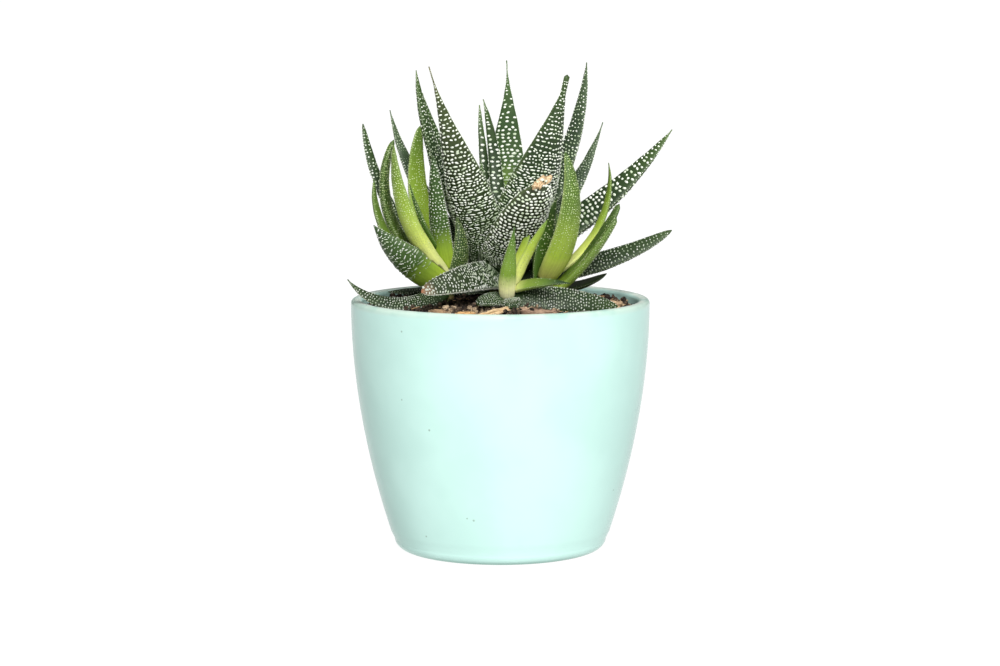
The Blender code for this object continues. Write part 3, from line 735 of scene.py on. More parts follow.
class Blade:
    """The curved midline of a leaf and the crescent section round it, or the same a little larger."""

    def __init__(self, leaf, grow=0.0):
        self.leaf = leaf
        self.grow = grow
        self.length = leaf.length * MM
        self.blunt = BLUNT_TIPS.get(leaf.node, TIP_WIDTH)
        self.flat_end = self.blunt > FLAT_END
        x, y, _, _, start = CROWNS[leaf.crown]
        towards = math.radians(leaf.heading)
        foot = Vector((x + start * math.cos(towards), y + start * math.sin(towards), leaf.height)) * MM
        foot.z += GROUND
        self.midline = [foot]
        for step in range(MIDLINE_STEPS):
            ahead, _ = self.aim((step + 0.5) / MIDLINE_STEPS)
            self.midline.append(self.midline[-1] + ahead * (self.length / MIDLINE_STEPS))

    def aim(self, along):
        """Direction of the midline at a share of its length, and the level line across it."""
        compass = math.radians(self.leaf.heading + self.leaf.turn * along)
        climb = math.radians(self.leaf.rise + (self.leaf.rise_tip - self.leaf.rise) * along)
        flat = Vector((math.cos(compass), math.sin(compass), 0.0))
        ahead = flat * math.cos(climb) + Vector((0.0, 0.0, math.sin(climb)))
        return ahead, Vector((-flat.y, flat.x, 0.0))

    def width(self, along):
        """Width of the blade: it swells from the foot, then tapers."""
        swell = math.sin(0.5 * math.pi * min(1.0, along / SWELL_END))
        swell = FOOT_SHARE + (1.0 - FOOT_SHARE) * swell
        past = min(1.0, max(0.0, (along - SWELL_END) / (1.0 - SWELL_END)))
        tapered = math.cos(0.5 * math.pi * past) ** self.leaf.taper
        return max(self.blunt, self.leaf.width * MM * swell * tapered)

    def section(self, along):
        """Centre, half width, side and up directions, and both depths, at a share of the length."""
        spot = along * MIDLINE_STEPS
        index = min(MIDLINE_STEPS - 1, int(spot))
        centre = self.midline[index].lerp(self.midline[index + 1], spot - index)
        ahead, level = self.aim(along)
        face = ahead.cross(level)
        roll = math.radians(self.leaf.roll)
        side = level * math.cos(roll) + face * math.sin(roll)
        up = face * math.cos(roll) - level * math.sin(roll)
        width = self.width(along)
        thin = min(1.0, width / THIN_WIDTH)
        outer = OUTER_DEPTH * thin + OUTER_BULGE * width
        inner = INNER_DEPTH * thin + INNER_BULGE * width
        centre += up * ((outer - inner) / 2.0)
        return centre, width / 2.0 + self.grow, side, up, outer + self.grow, inner + self.grow

    def point(self, along, across, face):
        """A point of the skin: across is -1 to 1, face -1 on the keeled side to 1 on the hollow one."""
        centre, half, side, up, outer, inner = self.section(along)
        depth = inner if face > 0.0 else outer
        return centre + side * (half * across) + up * (depth * face)


def blade_bmesh(blade, around, rings):
    """The smooth blade: a circle extruded ring by ring along the midline, closed at the tip."""
    bm = bmesh.new()
    layer = bm.verts.layers.float_vector.new("blade")
    bmesh.ops.create_circle(bm, cap_ends=True, segments=around, radius=1.0)
    for vertex in bm.verts:
        vertex[layer] = Vector((vertex.co.x, 0.0, vertex.co.y))
    edges = list(bm.edges)
    for ring in range(1, rings + 1):
        made = bmesh.ops.extrude_edge_only(bm, edges=edges)["geom"]
        fresh = {item for item in made if isinstance(item, bmesh.types.BMVert)}
        edges = [item for item in made if isinstance(item, bmesh.types.BMEdge)]
        edges = [edge for edge in edges if fresh.issuperset(edge.verts)]
        for vertex in fresh:
            across, _, face = vertex[layer]
            vertex[layer] = Vector((across, ring / rings, face))
    for vertex in bm.verts:
        across, along, face = vertex[layer]
        point = blade.point(along, across, face)
        ripple = RIPPLE * min(1.0, 8.0 * (1.0 - along))
        vertex.co = point + noise.noise_vector(point * RIPPLE_SCALE) * ripple
    tip = blade.section(1.0)[0] + blade.aim(1.0)[0] * (TIP_CAP * blade.width(1.0))
    cap = bmesh.ops.edgeloop_fill(bm, edges=edges)["faces"]
    crown = bmesh.ops.poke(bm, faces=cap)["verts"]
    for vertex in crown:
        vertex.co = tip
        vertex[layer] = Vector((0.0, 1.0, 0.0))
    bmesh.ops.recalc_face_normals(bm, faces=bm.faces)
    return bm


def arc_table(half, depth, steps=16):
    """Lengths along half an ellipse from one margin to the other."""
    table = [0.0]
    for step in range(steps):
        one, two = math.pi * step / steps, math.pi * (step + 1) / steps
        run = half * (math.cos(two) - math.cos(one))
        rise = depth * (math.sin(two) - math.sin(one))
        table.append(table[-1] + math.hypot(run, rise))
    return table


def arc_angle(table, length):
    """Angle on the half ellipse at a length from its margin."""
    steps = len(table) - 1
    for step in range(steps):
        if length <= table[step + 1]:
            share = (length - table[step]) / (table[step + 1] - table[step])
            return math.pi * (step + share) / steps
    return math.pi


def add_bead(scatter, blade, skin, ends, face, tall, rise):
    """One pearl: a low bead set in the skin between two spots, left out where the skin is cut."""
    first, last = [blade.point(along, math.cos(bend), face * math.sin(bend)) for along, bend in ends]
    middle = [(one + two) / 2.0 for one, two in zip(*ends)]
    spot = blade.point(middle[0], math.cos(middle[1]), face * math.sin(middle[1]))
    if skin.find_nearest(spot, SKIN_NEAR)[0] is None:
        return
    across = (last - first).normalized()
    ahead = blade.aim(middle[0])[0]
    out = across.cross(ahead).normalized()
    if out.dot(spot - blade.section(middle[0])[0]) < 0.0:
        out = -out
    ahead = out.cross(across)
    frame_of = Matrix((across, ahead, out)).transposed().to_4x4()
    sized = Matrix.Diagonal(((last - first).length / 2.0, tall / 2.0, rise, 1.0))
    scatter.bead(Matrix.Translation(spot - out * (rise * PEARL_SINK)) @ frame_of @ sized)


def pearl_size(style, along):
    """Size of a pearl at a share of the blade."""
    places = (style.start, *PEARL_PLACES)
    sizes = (style.foot, style.lower, style.upper, style.tip)
    for low, high, small, big in zip(places, places[1:], sizes, sizes[1:]):
        if along <= high and high > low:
            return (small + (big - small) * max(0.0, (along - low) / (high - low))) * MM
    return style.tip * MM


def add_pearls(bm, blade, style, dice):
    """Rows of pearls over both faces and a line of beads along both margins."""
    skin = BVHTree.FromBMesh(bm)
    end_of_rows = LAST_BEFORE_FLAT if blade.flat_end else LAST_PEARL
    full, worn_and_shaded = Scatter(bm, 1), Scatter(bm, 2)
    for face in (-1.0, 1.0):
        reach = style.start * blade.length
        drift = dice.uniform(0.0, 90.0)

        def wander(spot, reach):
            wave = noise.noise(Vector((spot / WAVE_ACROSS, reach / WAVE_ALONG, drift)))
            return wave * style.wave * MM

        while reach < blade.length * end_of_rows:
            along = reach / blade.length
            past = along - style.start
            size = min(pearl_size(style, along), PEARL_TO_WIDTH * blade.width(along))
            loose = 1.0 + style.loose * min(1.0, max(0.0, (along - LOOSE_FROM) / LOOSE_RUN))
            fade = min(1.0, FADE_FIRST + past / FADE_RUN)
            dash = 1.0 + (style.dash - 1.0) * max(DASH_LEAST, 1.0 - abs(along - DASH_AT) / DASH_RUN)
            thin_out = 1.0 + THIN_MORE * max(0.0, 1.0 - past / THIN_RUN)
            _, half, _, _, outer, inner = blade.section(along)
            table = arc_table(half, outer if face < 0.0 else inner)
            spot = size * dice.uniform(0.2, 0.9)
            while spot < table[-1] - 0.3 * size:
                wide = size * dice.uniform(0.8, 1.2)
                if dice.random() < DASH_CHANCE:
                    wide *= dice.uniform(1.0, dash)
                kept = dice.random() < (fade if face < 0.0 else fade * style.inner)
                if kept and spot + wide < table[-1]:
                    shift = dice.uniform(-0.5, 0.5) * size * (style.row * loose - 0.9)
                    tilt = dice.uniform(-0.12, 0.12) * wide
                    ends = []
                    for end, lean in ((spot, -tilt), (spot + wide, tilt)):
                        share = along + (wander(end, reach) + shift + lean) / blade.length
                        ends.append((min(end_of_rows, max(0.02, share)), arc_angle(table, end)))
                    # Duller pearls, most of them near the foot: partly worn, partly painted shade.
                    share = max(style.worn_and_shaded, 1.0 - past / WORN_AND_SHADED_RUN)
                    kind = worn_and_shaded if dice.random() < share else full
                    add_bead(kind, blade, skin, ends, face, size * dice.uniform(0.7, 1.0), size * PEARL_RISE)
                spot += wide + size * style.gap * loose * thin_out * dice.uniform(0.4, 1.6)
            reach += size * style.row * loose * (0.75 + 0.25 * thin_out)
    for angle in (0.0, math.pi):
        reach = TEETH_FROM * blade.length
        while reach < blade.length * TEETH_TO:
            along = reach / blade.length
            size = style.teeth * MM * dice.uniform(0.75, 1.25) * min(1.0, 0.4 + 2.2 * along)
            size = min(size, 0.6 * blade.width(along))
            lean = 0.6 * size / blade.width(along)
            ends = ((along, angle - lean), (along, angle + lean))
            add_bead(full, blade, skin, ends, -1.0, size * 1.5, size * 0.9)
            reach += size * dice.uniform(2.2, 3.0)
    if blade.flat_end:
        add_end_pearls(full, blade, style.tip * MM, dice)
    full.flush()
    worn_and_shaded.flush()


def add_end_pearls(scatter, blade, size, dice):
    """Pearls over the flat end of a blunt leaf, in rows from its keel to its hollow face."""
    centre, half, side, up, outer, inner = blade.section(1.0)
    ahead = blade.aim(1.0)[0]
    frame_of = Matrix((side, up, ahead)).transposed().to_4x4()
    step = size * 1.2
    rows = int(outer / step)
    for row in range(-rows, rows + 1):
        high = row * step
        if high >= inner * 1.1:
            break
        wide = half * math.sqrt(max(0.0, 1.0 - (high / outer) ** 2))
        count = int(wide / step)
        for place in range(-count, count + 1):
            spot = centre + side * (place * step + dice.uniform(-0.2, 0.2) * size) + up * high
            domed = max(0.0, 1.0 - math.hypot(place * step / half, high / outer))
            rise = TIP_CAP * blade.blunt * domed + END_LIFT
            sized = Matrix.Diagonal((size * dice.uniform(0.5, 0.8), size * 0.42, size * PEARL_RISE, 1.0))
            scatter.bead(Matrix.Translation(spot + ahead * rise) @ frame_of @ sized)


def biggest_body(bm):
    """Drops every scrap but the biggest body that cutting has left."""
    bodies, seen = [], set()
    for start in bm.faces:
        if start in seen:
            continue
        seen.add(start)
        body, todo = [], [start]
        while todo:
            face = todo.pop()
            body.append(face)
            near = {other for edge in face.edges for other in edge.link_faces} - seen
            seen |= near
            todo.extend(near)
        bodies.append(body)
    bodies.sort(key=lambda body: sum(face.calc_area() for face in body))
    scraps = [face for body in bodies[:-1] for face in body]
    bmesh.ops.delete(bm, geom=scraps, context="FACES")


def box_of(mesh):
    """Least and greatest coordinate of a mesh along each axis."""
    spots = [vertex.co for vertex in mesh.vertices]
    return [(min(spot[axis] for spot in spots), max(spot[axis] for spot in spots)) for axis in range(3)]


class Clearances:
    """Stems and blades, a little larger than life, that later blades are cut back from."""

    def __init__(self):
        self.stems = []
        for crown in CROWNS:
            name = crown + "_stem_room"
            self.stems.append(add_object(name, to_mesh(name, stem_cone(crown, 16, CUT_GAP, True)[0])))
        self.blades = {}
        for leaf in LEAVES:
            name = leaf.node + "_room"
            bm = blade_bmesh(Blade(leaf, CUT_GAP), 16, max(12, round(leaf.length * 0.5)))
            self.blades[leaf.node] = add_object(name, to_mesh(name, bm))

    def trim(self, leaf, bm):
        """Takes the stems and all blades before it in the list out of a blade."""
        thing = add_object("uncut", to_mesh("uncut", bm))
        own = box_of(thing.data)
        before = [other.node for other in LEAVES[: LEAVES.index(leaf)]]
        for tool in self.stems + [self.blades[node] for node in before]:
            sides = zip(own, box_of(tool.data))
            if all(low < most and least < high for (low, high), (least, most) in sides):
                cut = thing.modifiers.new(tool.name, "BOOLEAN")
                cut.operation = "DIFFERENCE"
                cut.solver = "MANIFOLD"
                cut.object = tool
        graph = bpy.context.evaluated_depsgraph_get()
        mesh = bpy.data.meshes.new_from_object(thing.evaluated_get(graph))
        bpy.data.meshes.remove(thing.data)
        made = bmesh.new()
        made.from_mesh(mesh)
        bpy.data.meshes.remove(mesh)
        biggest_body(made)
        return made

    def clear(self):
        """Removes the meshes, and with them their objects."""
        for tool in (*self.stems, *self.blades.values()):
            bpy.data.meshes.remove(tool.data)


def make_leaf(leaf, skins, beads, room):
    """One leaf: the smooth blade with its pearls, standing for its CAD node."""
    blade = Blade(leaf)
    around = 24 if leaf.width > 6.5 else 18
    bm = room.trim(leaf, blade_bmesh(blade, around, max(18, round(leaf.length * 1.15))))
    add_pearls(bm, blade, PEARLS[leaf.pearls], random.Random(leaf.node))
    add_piece("pearled_" + leaf.node, bm, [skins[leaf.skin], *beads], leaf.node)


def make_leaves(leaves, settings, pearl, worn_and_shaded):
    """Leaves whose pearls have the same two colours, each cut back from those before it."""
    skins = {kind: leaf_shade(kind, settings) for kind in sorted({leaf.skin for leaf in leaves})}
    name = "pearl_" + leaves[0].crown
    # The duller bead material is darker still in patches: partly worn pearls, partly painted shade.
    dull_and_shaded = tuple(0.55 * part for part in worn_and_shaded)
    beads = [pearl_shade(name, tuple(pearl), tuple(worn_and_shaded)), pearl_shade(name + "_worn", tuple(worn_and_shaded), dull_and_shaded)]
    room = Clearances()
    for leaf in leaves:
        make_leaf(leaf, skins, beads, room)
    room.clear()


# Settings.


class PotSettings(bpy.types.PropertyGroup):
    """Sizes and colours of the pot."""

    height: FloatProperty(
        name="Height", description="Height of the lip over the foot", default=POT_HIGH.z, unit="LENGTH"
    )
    wall: FloatProperty(name="Wall", description="Thickness of the wall", default=3.0 * MM, unit="LENGTH")
    sides: IntProperty(name="Sides", description="Steps round the pot", default=160, min=32)
    glaze: FloatVectorProperty(
        name="Glaze", description="Colour of the thick glaze", default=screen(175, 208, 200), subtype="COLOR"
    )
    # Painted light: the glaze inside is lighter than outside, to brighten the shaded inner wall.
    inside_glaze_painted_light: FloatVectorProperty(
        name="Deep glaze", description="Colour of the glaze inside", default=screen(200, 240, 230),
        subtype="COLOR",
    )
    thin_glaze: FloatVectorProperty(
        name="Thin glaze", description="Colour where the glaze is thin, on the lip",
        default=screen(236, 244, 232), subtype="COLOR",
    )
    gloss: FloatProperty(
        name="Roughness", description="Roughness of the glaze", default=0.16, subtype="FACTOR"
    )


class SoilSettings(bpy.types.PropertyGroup):
    """Sizes and colours of the soil and what lies on it."""

    crumbs: IntProperty(name="Crumbs", description="Loose crumbs on the soil", default=2600, min=0)
    heap: IntProperty(name="Heap", description="Coarser crumbs at the front", default=620, min=0)
    straws: IntProperty(name="Straws", description="Thin fibres on the soil", default=90, min=0)
    peat: FloatVectorProperty(
        name="Peat", description="Darkest colour of the soil", default=screen(30, 24, 20), subtype="COLOR"
    )
    humus: FloatVectorProperty(
        name="Humus", description="Lighter grains of the soil", default=screen(92, 76, 62), subtype="COLOR"
    )


class LeafSettings(bpy.types.PropertyGroup):
    """Colours of the leaves and their pearls."""

    lightness: FloatProperty(
        name="Lightness", description="Lightness of every blade", default=0.84, min=0.2, max=2.0
    )
    pearl: FloatVectorProperty(
        name="Pearl", description="Colour of the full pearls", default=screen(230, 234, 222), subtype="COLOR"
    )
    # Duller pearls: partly worn, partly painted shade near the leaf feet.
    worn_and_shaded_pearl: FloatVectorProperty(
        name="Worn pearl", description="Colour of weaker pearls", default=screen(186, 202, 168),
        subtype="COLOR",
    )
    young_pearl: FloatVectorProperty(
        name="Young pearl", description="Pearls of the offsets", default=screen(214, 226, 178),
        subtype="COLOR",
    )
    # Duller pearls of the offsets: partly worn, partly painted shade near the leaf feet.
    young_worn_and_shaded: FloatVectorProperty(
        name="Young worn", description="Weaker pearls of the offsets", default=screen(160, 184, 104),
        subtype="COLOR",
    )


class StageSettings(bpy.types.PropertyGroup):
    """Camera and light."""

    lens: FloatProperty(
        name="Lens", description="Focal length on a 36 mm sensor", default=106.2, min=20.0
    )
    top: FloatProperty(name="Top", description="Strength of the light from above", default=0.8, min=0.0)
    sun: FloatProperty(name="Key", description="Strength of the soft key light", default=4.6, min=0.0)
    sky: FloatProperty(name="Fill", description="Strength of the light all round", default=0.1, min=0.0)
    floor: FloatVectorProperty(
        name="Floor", description="Colour of the floor", default=(0.05, 0.05, 0.05), subtype="COLOR"
    )


# Operators.


class SUCCULENT_OT_pot(bpy.types.Operator):
    """Make the glazed cover pot"""

    bl_idname = "succulent.pot"
    bl_label = "Pot"

    def execute(self, context):
        settings = context.scene.succulent_pot
        wall, top = settings.wall, settings.height
        corner = INNER_CORNER
        profile = [(0.0, FLOOR_THICK), (side_radius(FLOOR_THICK) - wall - corner, FLOOR_THICK)]
        for step in range(9):
            bend = math.radians(90.0 * step / 8.0)
            low = FLOOR_THICK + corner * (1.0 - math.cos(bend))
            profile.append((side_radius(low) - wall - corner * (1.0 - math.sin(bend)), low))
        heights = [8.0 + 2.4 * step for step in range(24)]
        profile += [(side_radius(z * MM) - wall, z * MM) for z in heights]
        inner, lip = POT_HIGH.x - wall, top - LIP_ROUND
        middle = (inner + POT_HIGH.x) / 2.0
        for step in range(25):
            bend = math.radians(180.0 - 7.5 * step)
            squared = math.copysign(abs(math.cos(bend)) ** LIP_SQUARENESS, math.cos(bend))
            profile.append((middle + squared * wall / 2.0, lip + LIP_ROUND * math.sin(bend)))
        heights = [65.0 - 1.25 * step for step in range(49)]
        profile += [(side_radius(z * MM), z * MM) for z in heights]
        for step in range(13):
            bend = math.radians(90.0 - 7.5 * step)
            low = FOOT_EDGE_RISE * (1.0 - math.cos(bend))
            profile.append((FOOT_RADIUS + FOOT_EDGE_RUN * math.sin(bend), low))
        profile.append((0.0, 0.0))
        bm = bmesh.new()
        spin_profile(bm, profile, settings.sides)
        add_piece("glazed_pot", bm, [glaze_shade(settings)], "pot")
        return {"FINISHED"}


def anywhere(reach, dice):
    """A random spot within a reach of the pot's middle, as x and y."""
    out = reach * math.sqrt(dice.random())
    around = dice.uniform(0.0, 2.0 * math.pi)
    return out * math.cos(around), out * math.sin(around)


def add_lump(scatter, spot, size, long, wide, crumple, dice):
    """One crumb, turned and stretched at random and crumpled by a share of its size."""
    turn = Euler([dice.uniform(0.0, 6.3) for _ in range(3)]).to_matrix().to_4x4()
    stretch = Matrix.Diagonal((dice.uniform(*long), dice.uniform(*wide), dice.uniform(0.5, 0.9), 1.0))
    scatter.bead(Matrix.Translation(spot) @ turn @ stretch @ Matrix.Scale(size, 4), crumple * size)


def add_crumbs(scatter, count, rim, dice):
    """Irregular lumps, mostly small, sunk a little into the soil."""
    for _ in range(count):
        size = (0.28 + 0.85 * dice.random() ** 3) * MM
        x, y = anywhere(rim - size * 1.3, dice)
        z = soil_top(x, y, rim) + size * dice.uniform(-0.1, 0.45)
        add_lump(scatter, (x, y, z), size, (0.8, 1.4), (0.7, 1.1), 0.35, dice)
    scatter.flush()


def add_heap(scatter, count, dice):
    """Coarser crumbs heaped between the front leaves and the rim."""
    for _ in range(count):
        size = dice.uniform(0.32, 0.95) * MM
        x, y = dice.uniform(-19.0, 15.0), dice.uniform(-33.5, -24.0)
        away = [(part - mid) / half for part, mid, half in zip((x, y), HEAP_MIDDLE, HEAP_HALF)]
        hump = max(0.0, 1.0 - away[0] ** 2) * max(0.0, 1.0 - away[1] ** 2)
        hump *= 0.6 + 0.8 * noise.noise(Vector((x * 0.4, y * 0.4, 2.0)))
        z = soil_top(x * MM, y * MM, POT_HIGH.x) + dice.uniform(-0.1, HEAP_HIGH) * max(0.0, hump) * MM
        add_lump(scatter, (x * MM, y * MM, z), size, (0.9, 1.7), (0.6, 1.0), 0.4, dice)
    scatter.flush()


def add_straws(scatter, count, rim, dice):
    """Thin pale fibres that lie on the soil."""
    for _ in range(count):
        length = dice.uniform(1.5, 5.5) * MM
        thick = dice.uniform(0.07, 0.2) * MM
        x, y = anywhere(rim - length * 0.6, dice)
        z = soil_top(x, y, rim) + 0.55 * MM
        turn = Euler((math.pi / 2.0 + dice.uniform(-0.2, 0.2), 0.0, dice.uniform(0.0, 6.3)))
        scatter.straw(Matrix.Translation((x, y, z)) @ turn.to_matrix().to_4x4(), thick, length)
    scatter.flush()


class SUCCULENT_OT_soil(bpy.types.Operator):
    """Make the potting soil with its crumbs and fibres"""

    bl_idname = "succulent.soil"
    bl_label = "Soil"

    def execute(self, context):
        settings = context.scene.succulent_soil
        wall = context.scene.succulent_pot.wall
        rim = POT_HIGH.x - wall - GAP
        floor = FLOOR_THICK + GAP
        profile = [(0.0, floor), (side_radius(FLOOR_THICK) - wall - SOIL_CORNER, floor)]
        profile += [(side_radius(z * MM) - wall - GAP, z * MM) for z in (9.0, 20.0, 36.0, 52.0)]
        profile.append((rim, SOIL_EDGE - 1.0 * MM))
        profile += [(rim * (1.0 - ring / SOIL_RINGS), SOIL_EDGE) for ring in range(SOIL_RINGS + 1)]
        bm = bmesh.new()
        spin_profile(bm, profile, SOIL_SIDES)
        for vertex in bm.verts:
            if vertex.co.z > SOIL_EDGE - 0.5 * MM:
                x, y, _ = vertex.co
                rough = noise.fractal(vertex.co * 620.0, 0.9, 2.1, 4) * SOIL_ROUGH * MM
                inward = min(1.0, (rim - math.hypot(x, y)) / (1.0 * MM))
                vertex.co.z = soil_top(x, y, POT_HIGH.x - wall) + rough * inward
        dice = random.Random("crumbs")
        add_crumbs(Scatter(bm), settings.crumbs, rim, dice)
        add_heap(Scatter(bm), settings.heap // 2, dice)
        add_heap(Scatter(bm, 2), settings.heap // 2, dice)
        add_straws(Scatter(bm, 1), settings.straws, rim, dice)
        earth = soil_shade("potting_soil", tuple(settings.peat), tuple(settings.humus))
        straw = bark_shade("straw", screen(120, 88, 60), screen(206, 170, 128))
        bits = soil_shade("bark_bits", screen(92, 78, 62), screen(200, 176, 144))
        add_piece("crumbly_soil", bm, [earth, straw, bits], "soil")
        return {"FINISHED"}


class SUCCULENT_OT_stems(bpy.types.Operator):
    """Make the four short stems"""

    bl_idname = "succulent.stems"
    bl_label = "Stems"

    def execute(self, context):
        look = stem_shade()
        for crown in CROWNS:
            bm, middle = stem_cone(crown, 28, 0.0, False)
            spans = [(edge, abs(edge.verts[0].co.z - edge.verts[1].co.z)) for edge in bm.edges]
            upright = [edge for edge, span in spans if span > STEM_DEPTH]
            bmesh.ops.subdivide_edges(bm, edges=upright, cuts=24)
            for vertex in bm.verts:
                vertex.co.xy *= 1.0 + 0.06 * noise.noise(vertex.co * 900.0) - 0.03
            bmesh.ops.translate(bm, verts=bm.verts, vec=middle)
            bmesh.ops.recalc_face_normals(bm, faces=bm.faces)
            add_piece(crown + "_scarred_stem", bm, [look], crown + "_stem")
        return {"FINISHED"}


class SUCCULENT_OT_main_leaves(bpy.types.Operator):
    """Make the pearled leaves of the main rosette"""

    bl_idname = "succulent.main_leaves"
    bl_label = "Main leaves"

    def execute(self, context):
        settings = context.scene.succulent_leaf
        leaves = [leaf for leaf in LEAVES if leaf.crown == "main"]
        make_leaves(leaves, settings, settings.pearl, settings.worn_and_shaded_pearl)
        return {"FINISHED"}


class SUCCULENT_OT_young_leaves(bpy.types.Operator):
    """Make the leaves of the three offsets"""

    bl_idname = "succulent.young_leaves"
    bl_label = "Offset leaves"

    def execute(self, context):
        settings = context.scene.succulent_leaf
        dark = [leaf for leaf in LEAVES if leaf.crown != "main" and leaf.skin in WHITE_PEARLED]
        young = [leaf for leaf in LEAVES if leaf.crown != "main" and leaf.skin not in WHITE_PEARLED]
        make_leaves(dark, settings, settings.pearl, settings.worn_and_shaded_pearl)
        make_leaves(young, settings, settings.young_pearl, settings.young_worn_and_shaded)
        return {"FINISHED"}


class SUCCULENT_OT_husk(bpy.types.Operator):
    """Make the dry scrap on the tip of the short front leaf"""

    bl_idname = "succulent.husk"
    bl_label = "Dry husk"

    def execute(self, context):
        leaf = next(leaf for leaf in LEAVES if leaf.node == "main_leaf_front_short")
        blade = Blade(leaf)
        centre, _, side, up, _, _ = blade.section(1.0)
        ahead = blade.aim(1.0)[0]
        tilt = math.radians(HUSK_TILT)
        turned = side * math.cos(tilt) + up * math.sin(tilt)
        side, up = turned, up * math.cos(tilt) - side * math.sin(tilt)
        bm = bmesh.new()
        layer = bm.verts.layers.float_vector.new("fibre")
        bmesh.ops.create_icosphere(bm, subdivisions=5, radius=1.0)
        for vertex in bm.verts:
            across, along, out = vertex.co
            vertex[layer] = Vector((across * 2.0, along * 1.2, out))
            ragged = 1.0 + 0.5 * noise.noise(Vector((across * 1.8, along * 1.8, 4.0)))
            ragged += 0.22 * noise.noise(Vector((across * 6.0, along * 6.0, 4.0)))
            crumple = noise.fractal(Vector((across * 2.2, along * 2.8, out + 9.0)), 0.8, 2.0, 4)
            reach = max(0.1, 0.9 + 0.6 * out + 0.7 * crumple)
            wide, high = HUSK_HALF[0] * across * ragged, HUSK_HALF[1] * along * ragged
            vertex.co = centre + (side * wide + up * high + ahead * reach) * MM
        bmesh.ops.recalc_face_normals(bm, faces=bm.faces)
        dry = bark_shade("dry_husk", screen(150, 120, 84), screen(230, 204, 166))
        add_piece("papery_husk", bm, [dry], "dry_husk")
        return {"FINISHED"}


class SUCCULENT_OT_bark(bpy.types.Operator):
    """Make the loose flakes of bark"""

    bl_idname = "succulent.bark"
    bl_label = "Bark"

    def execute(self, context):
        radius = POT_HIGH.x - context.scene.succulent_pot.wall
        for name, (x, y, length, width, thick, turn, lift, deep, pale) in CHIPS.items():
            bm = bmesh.new()
            bmesh.ops.create_cube(bm, size=1.0)
            bmesh.ops.subdivide_edges(bm, edges=bm.edges, cuts=9, use_grid_fill=True)
            layer = bm.verts.layers.float_vector.new("fibre")
            spots = [((x + dx) * MM, (y + dy) * MM) for dx in (-1.5, 0, 1.5) for dy in (-1, 0, 1)]
            lowest = max(soil_top(px, py, radius) for px, py in spots)
            for vertex in bm.verts:
                vertex[layer] = Vector((vertex.co.x * 0.5, vertex.co.y * 2.2, vertex.co.z * 2.2))
                lump = noise.fractal(vertex.co * 2.6 + Vector((x, y, 0.0)), 0.7, 2.0, 3)
                fibres = Vector((vertex.co.x * 1.5, vertex.co.y * 9.0, vertex.co.z * 7.0 + x))
                split = noise.fractal(fibres, 0.8, 2.0, 3)
                px = vertex.co.x * length * (1.0 + 0.24 * lump + 0.12 * split)
                py = vertex.co.y * width * (1.0 - 0.5 * vertex.co.x + 0.4 * lump + 0.14 * split)
                pz = vertex.co.z * thick * (1.0 + 0.5 * lump + 0.3 * split)
                height = pz + 0.35 * thick + lift * (px / length + 0.5)
                vertex.co = Vector((px, py, height)) * MM
            bmesh.ops.rotate(bm, verts=bm.verts, matrix=Matrix.Rotation(math.radians(turn), 3, "Z"))
            bmesh.ops.translate(bm, verts=bm.verts, vec=(x * MM, y * MM, lowest))
            bmesh.ops.recalc_face_normals(bm, faces=bm.faces)
            add_piece("split_" + name, bm, [bark_shade(name, screen(*deep), screen(*pale))], name)
        return {"FINISHED"}


def add_sun(name, strength, angle, turn):
    """A soft sun: its strength, how wide it is and how it is turned, in degrees."""
    light = bpy.data.lights.new(name, "SUN")
    light.energy = strength
    light.angle = math.radians(angle)
    add_object(name, light).rotation_euler = [math.radians(part) for part in turn]


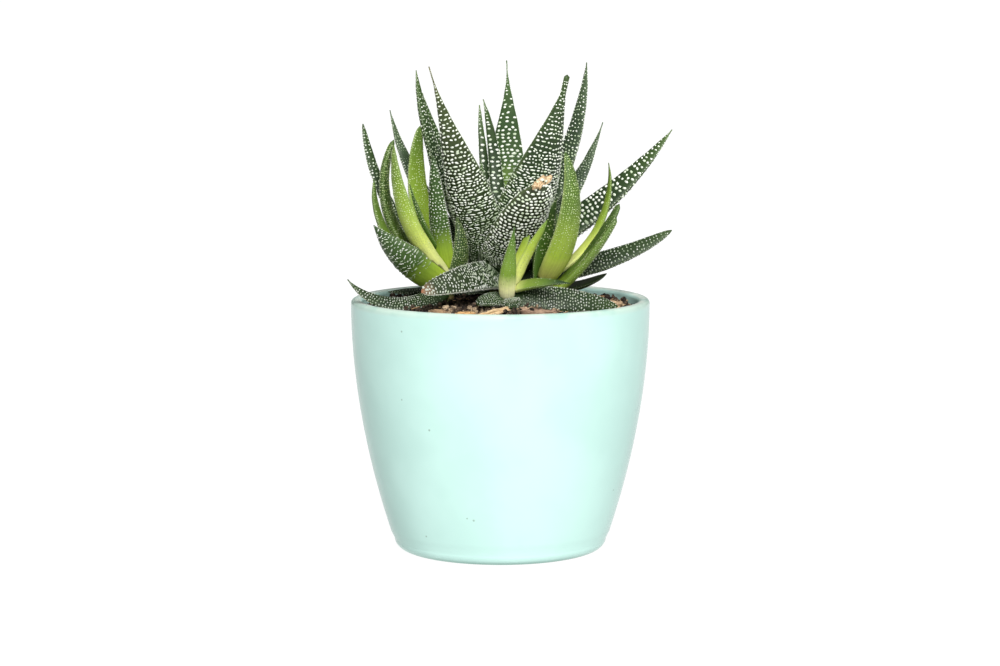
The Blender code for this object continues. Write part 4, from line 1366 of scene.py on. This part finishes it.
class SUCCULENT_OT_stage(bpy.types.Operator):
    """Set up the pale floor, the soft light and the camera"""

    bl_idname = "succulent.stage"
    bl_label = "Stage"

    def execute(self, context):
        settings = context.scene.succulent_stage
        bm = bmesh.new()
        bmesh.ops.create_grid(bm, x_segments=4, y_segments=4, size=30.0)
        mesh = to_mesh("floor", bm)
        shade = Shade("pale_floor", 0.9, 0.0)
        colour = tuple(settings.floor)
        shade.paint({"Base Color": shade.blend(shade.grain(3.0) * 0.04, colour, (1.0, 1.0, 1.0))})
        shade.paint({"Emission Color": (1.0, 1.0, 1.0, 1.0), "Emission Strength": 0.98})
        mesh.materials.append(shade.material)
        add_object("floor", mesh)

        world = bpy.data.worlds.new("soft_fill")
        world.use_nodes = True
        background = world.node_tree.nodes["Background"]
        background.inputs["Color"].default_value = (1.0, 1.0, 1.0, 1.0)
        background.inputs["Strength"].default_value = settings.sky
        context.scene.world = world
        context.scene.view_settings.view_transform = "Standard"
        add_sun("soft_key", settings.sun, KEY_ANGLE, KEY_TURN)
        add_sun("soft_top", settings.top, TOP_ANGLE, (0.0, 0.0, 0.0))

        lens = bpy.data.cameras.new("camera")
        lens.lens = settings.lens
        lens.sensor_width = SENSOR_WIDTH
        lens.shift_x = SHIFT_PIXELS / IMAGE_WIDTH
        lens.clip_start, lens.clip_end = 0.01, 100.0
        camera = add_object("camera", lens)
        camera.location = CAMERA_PLACE
        camera.rotation_euler = (math.radians(90.0 - CAMERA_PITCH), 0.0, 0.0)
        context.scene.camera = camera
        return {"FINISHED"}


OPERATORS = (
    SUCCULENT_OT_pot,
    SUCCULENT_OT_soil,
    SUCCULENT_OT_stems,
    SUCCULENT_OT_main_leaves,
    SUCCULENT_OT_young_leaves,
    SUCCULENT_OT_husk,
    SUCCULENT_OT_bark,
    SUCCULENT_OT_stage,
)
SETTINGS = {
    "succulent_pot": PotSettings,
    "succulent_soil": SoilSettings,
    "succulent_leaf": LeafSettings,
    "succulent_stage": StageSettings,
}


class SUCCULENT_PT_panel(bpy.types.Panel):
    """Lists the pieces and their settings"""

    bl_idname = "SUCCULENT_PT_panel"
    bl_label = "Potted Succulent"
    bl_space_type = "VIEW_3D"
    bl_region_type = "UI"
    bl_category = "Succulent"

    def draw(self, context):
        layout = self.layout
        for name, group in SETTINGS.items():
            box = layout.box()
            for key in group.__annotations__:
                box.prop(getattr(context.scene, name), key)
        for operator in OPERATORS:
            layout.operator(operator.bl_idname)


CLASSES = (*SETTINGS.values(), *OPERATORS, SUCCULENT_PT_panel)


def register():
    for made in CLASSES:
        bpy.utils.register_class(made)
    for name, group in SETTINGS.items():
        setattr(bpy.types.Scene, name, PointerProperty(type=group))


def unregister():
    for name in SETTINGS:
        delattr(bpy.types.Scene, name)
    for made in reversed(CLASSES):
        bpy.utils.unregister_class(made)


def main():
    register()
    for operator in OPERATORS:
        group, name = operator.bl_idname.split(".")
        getattr(getattr(bpy.ops, group), name)()


if __name__ == "__main__":
    main()
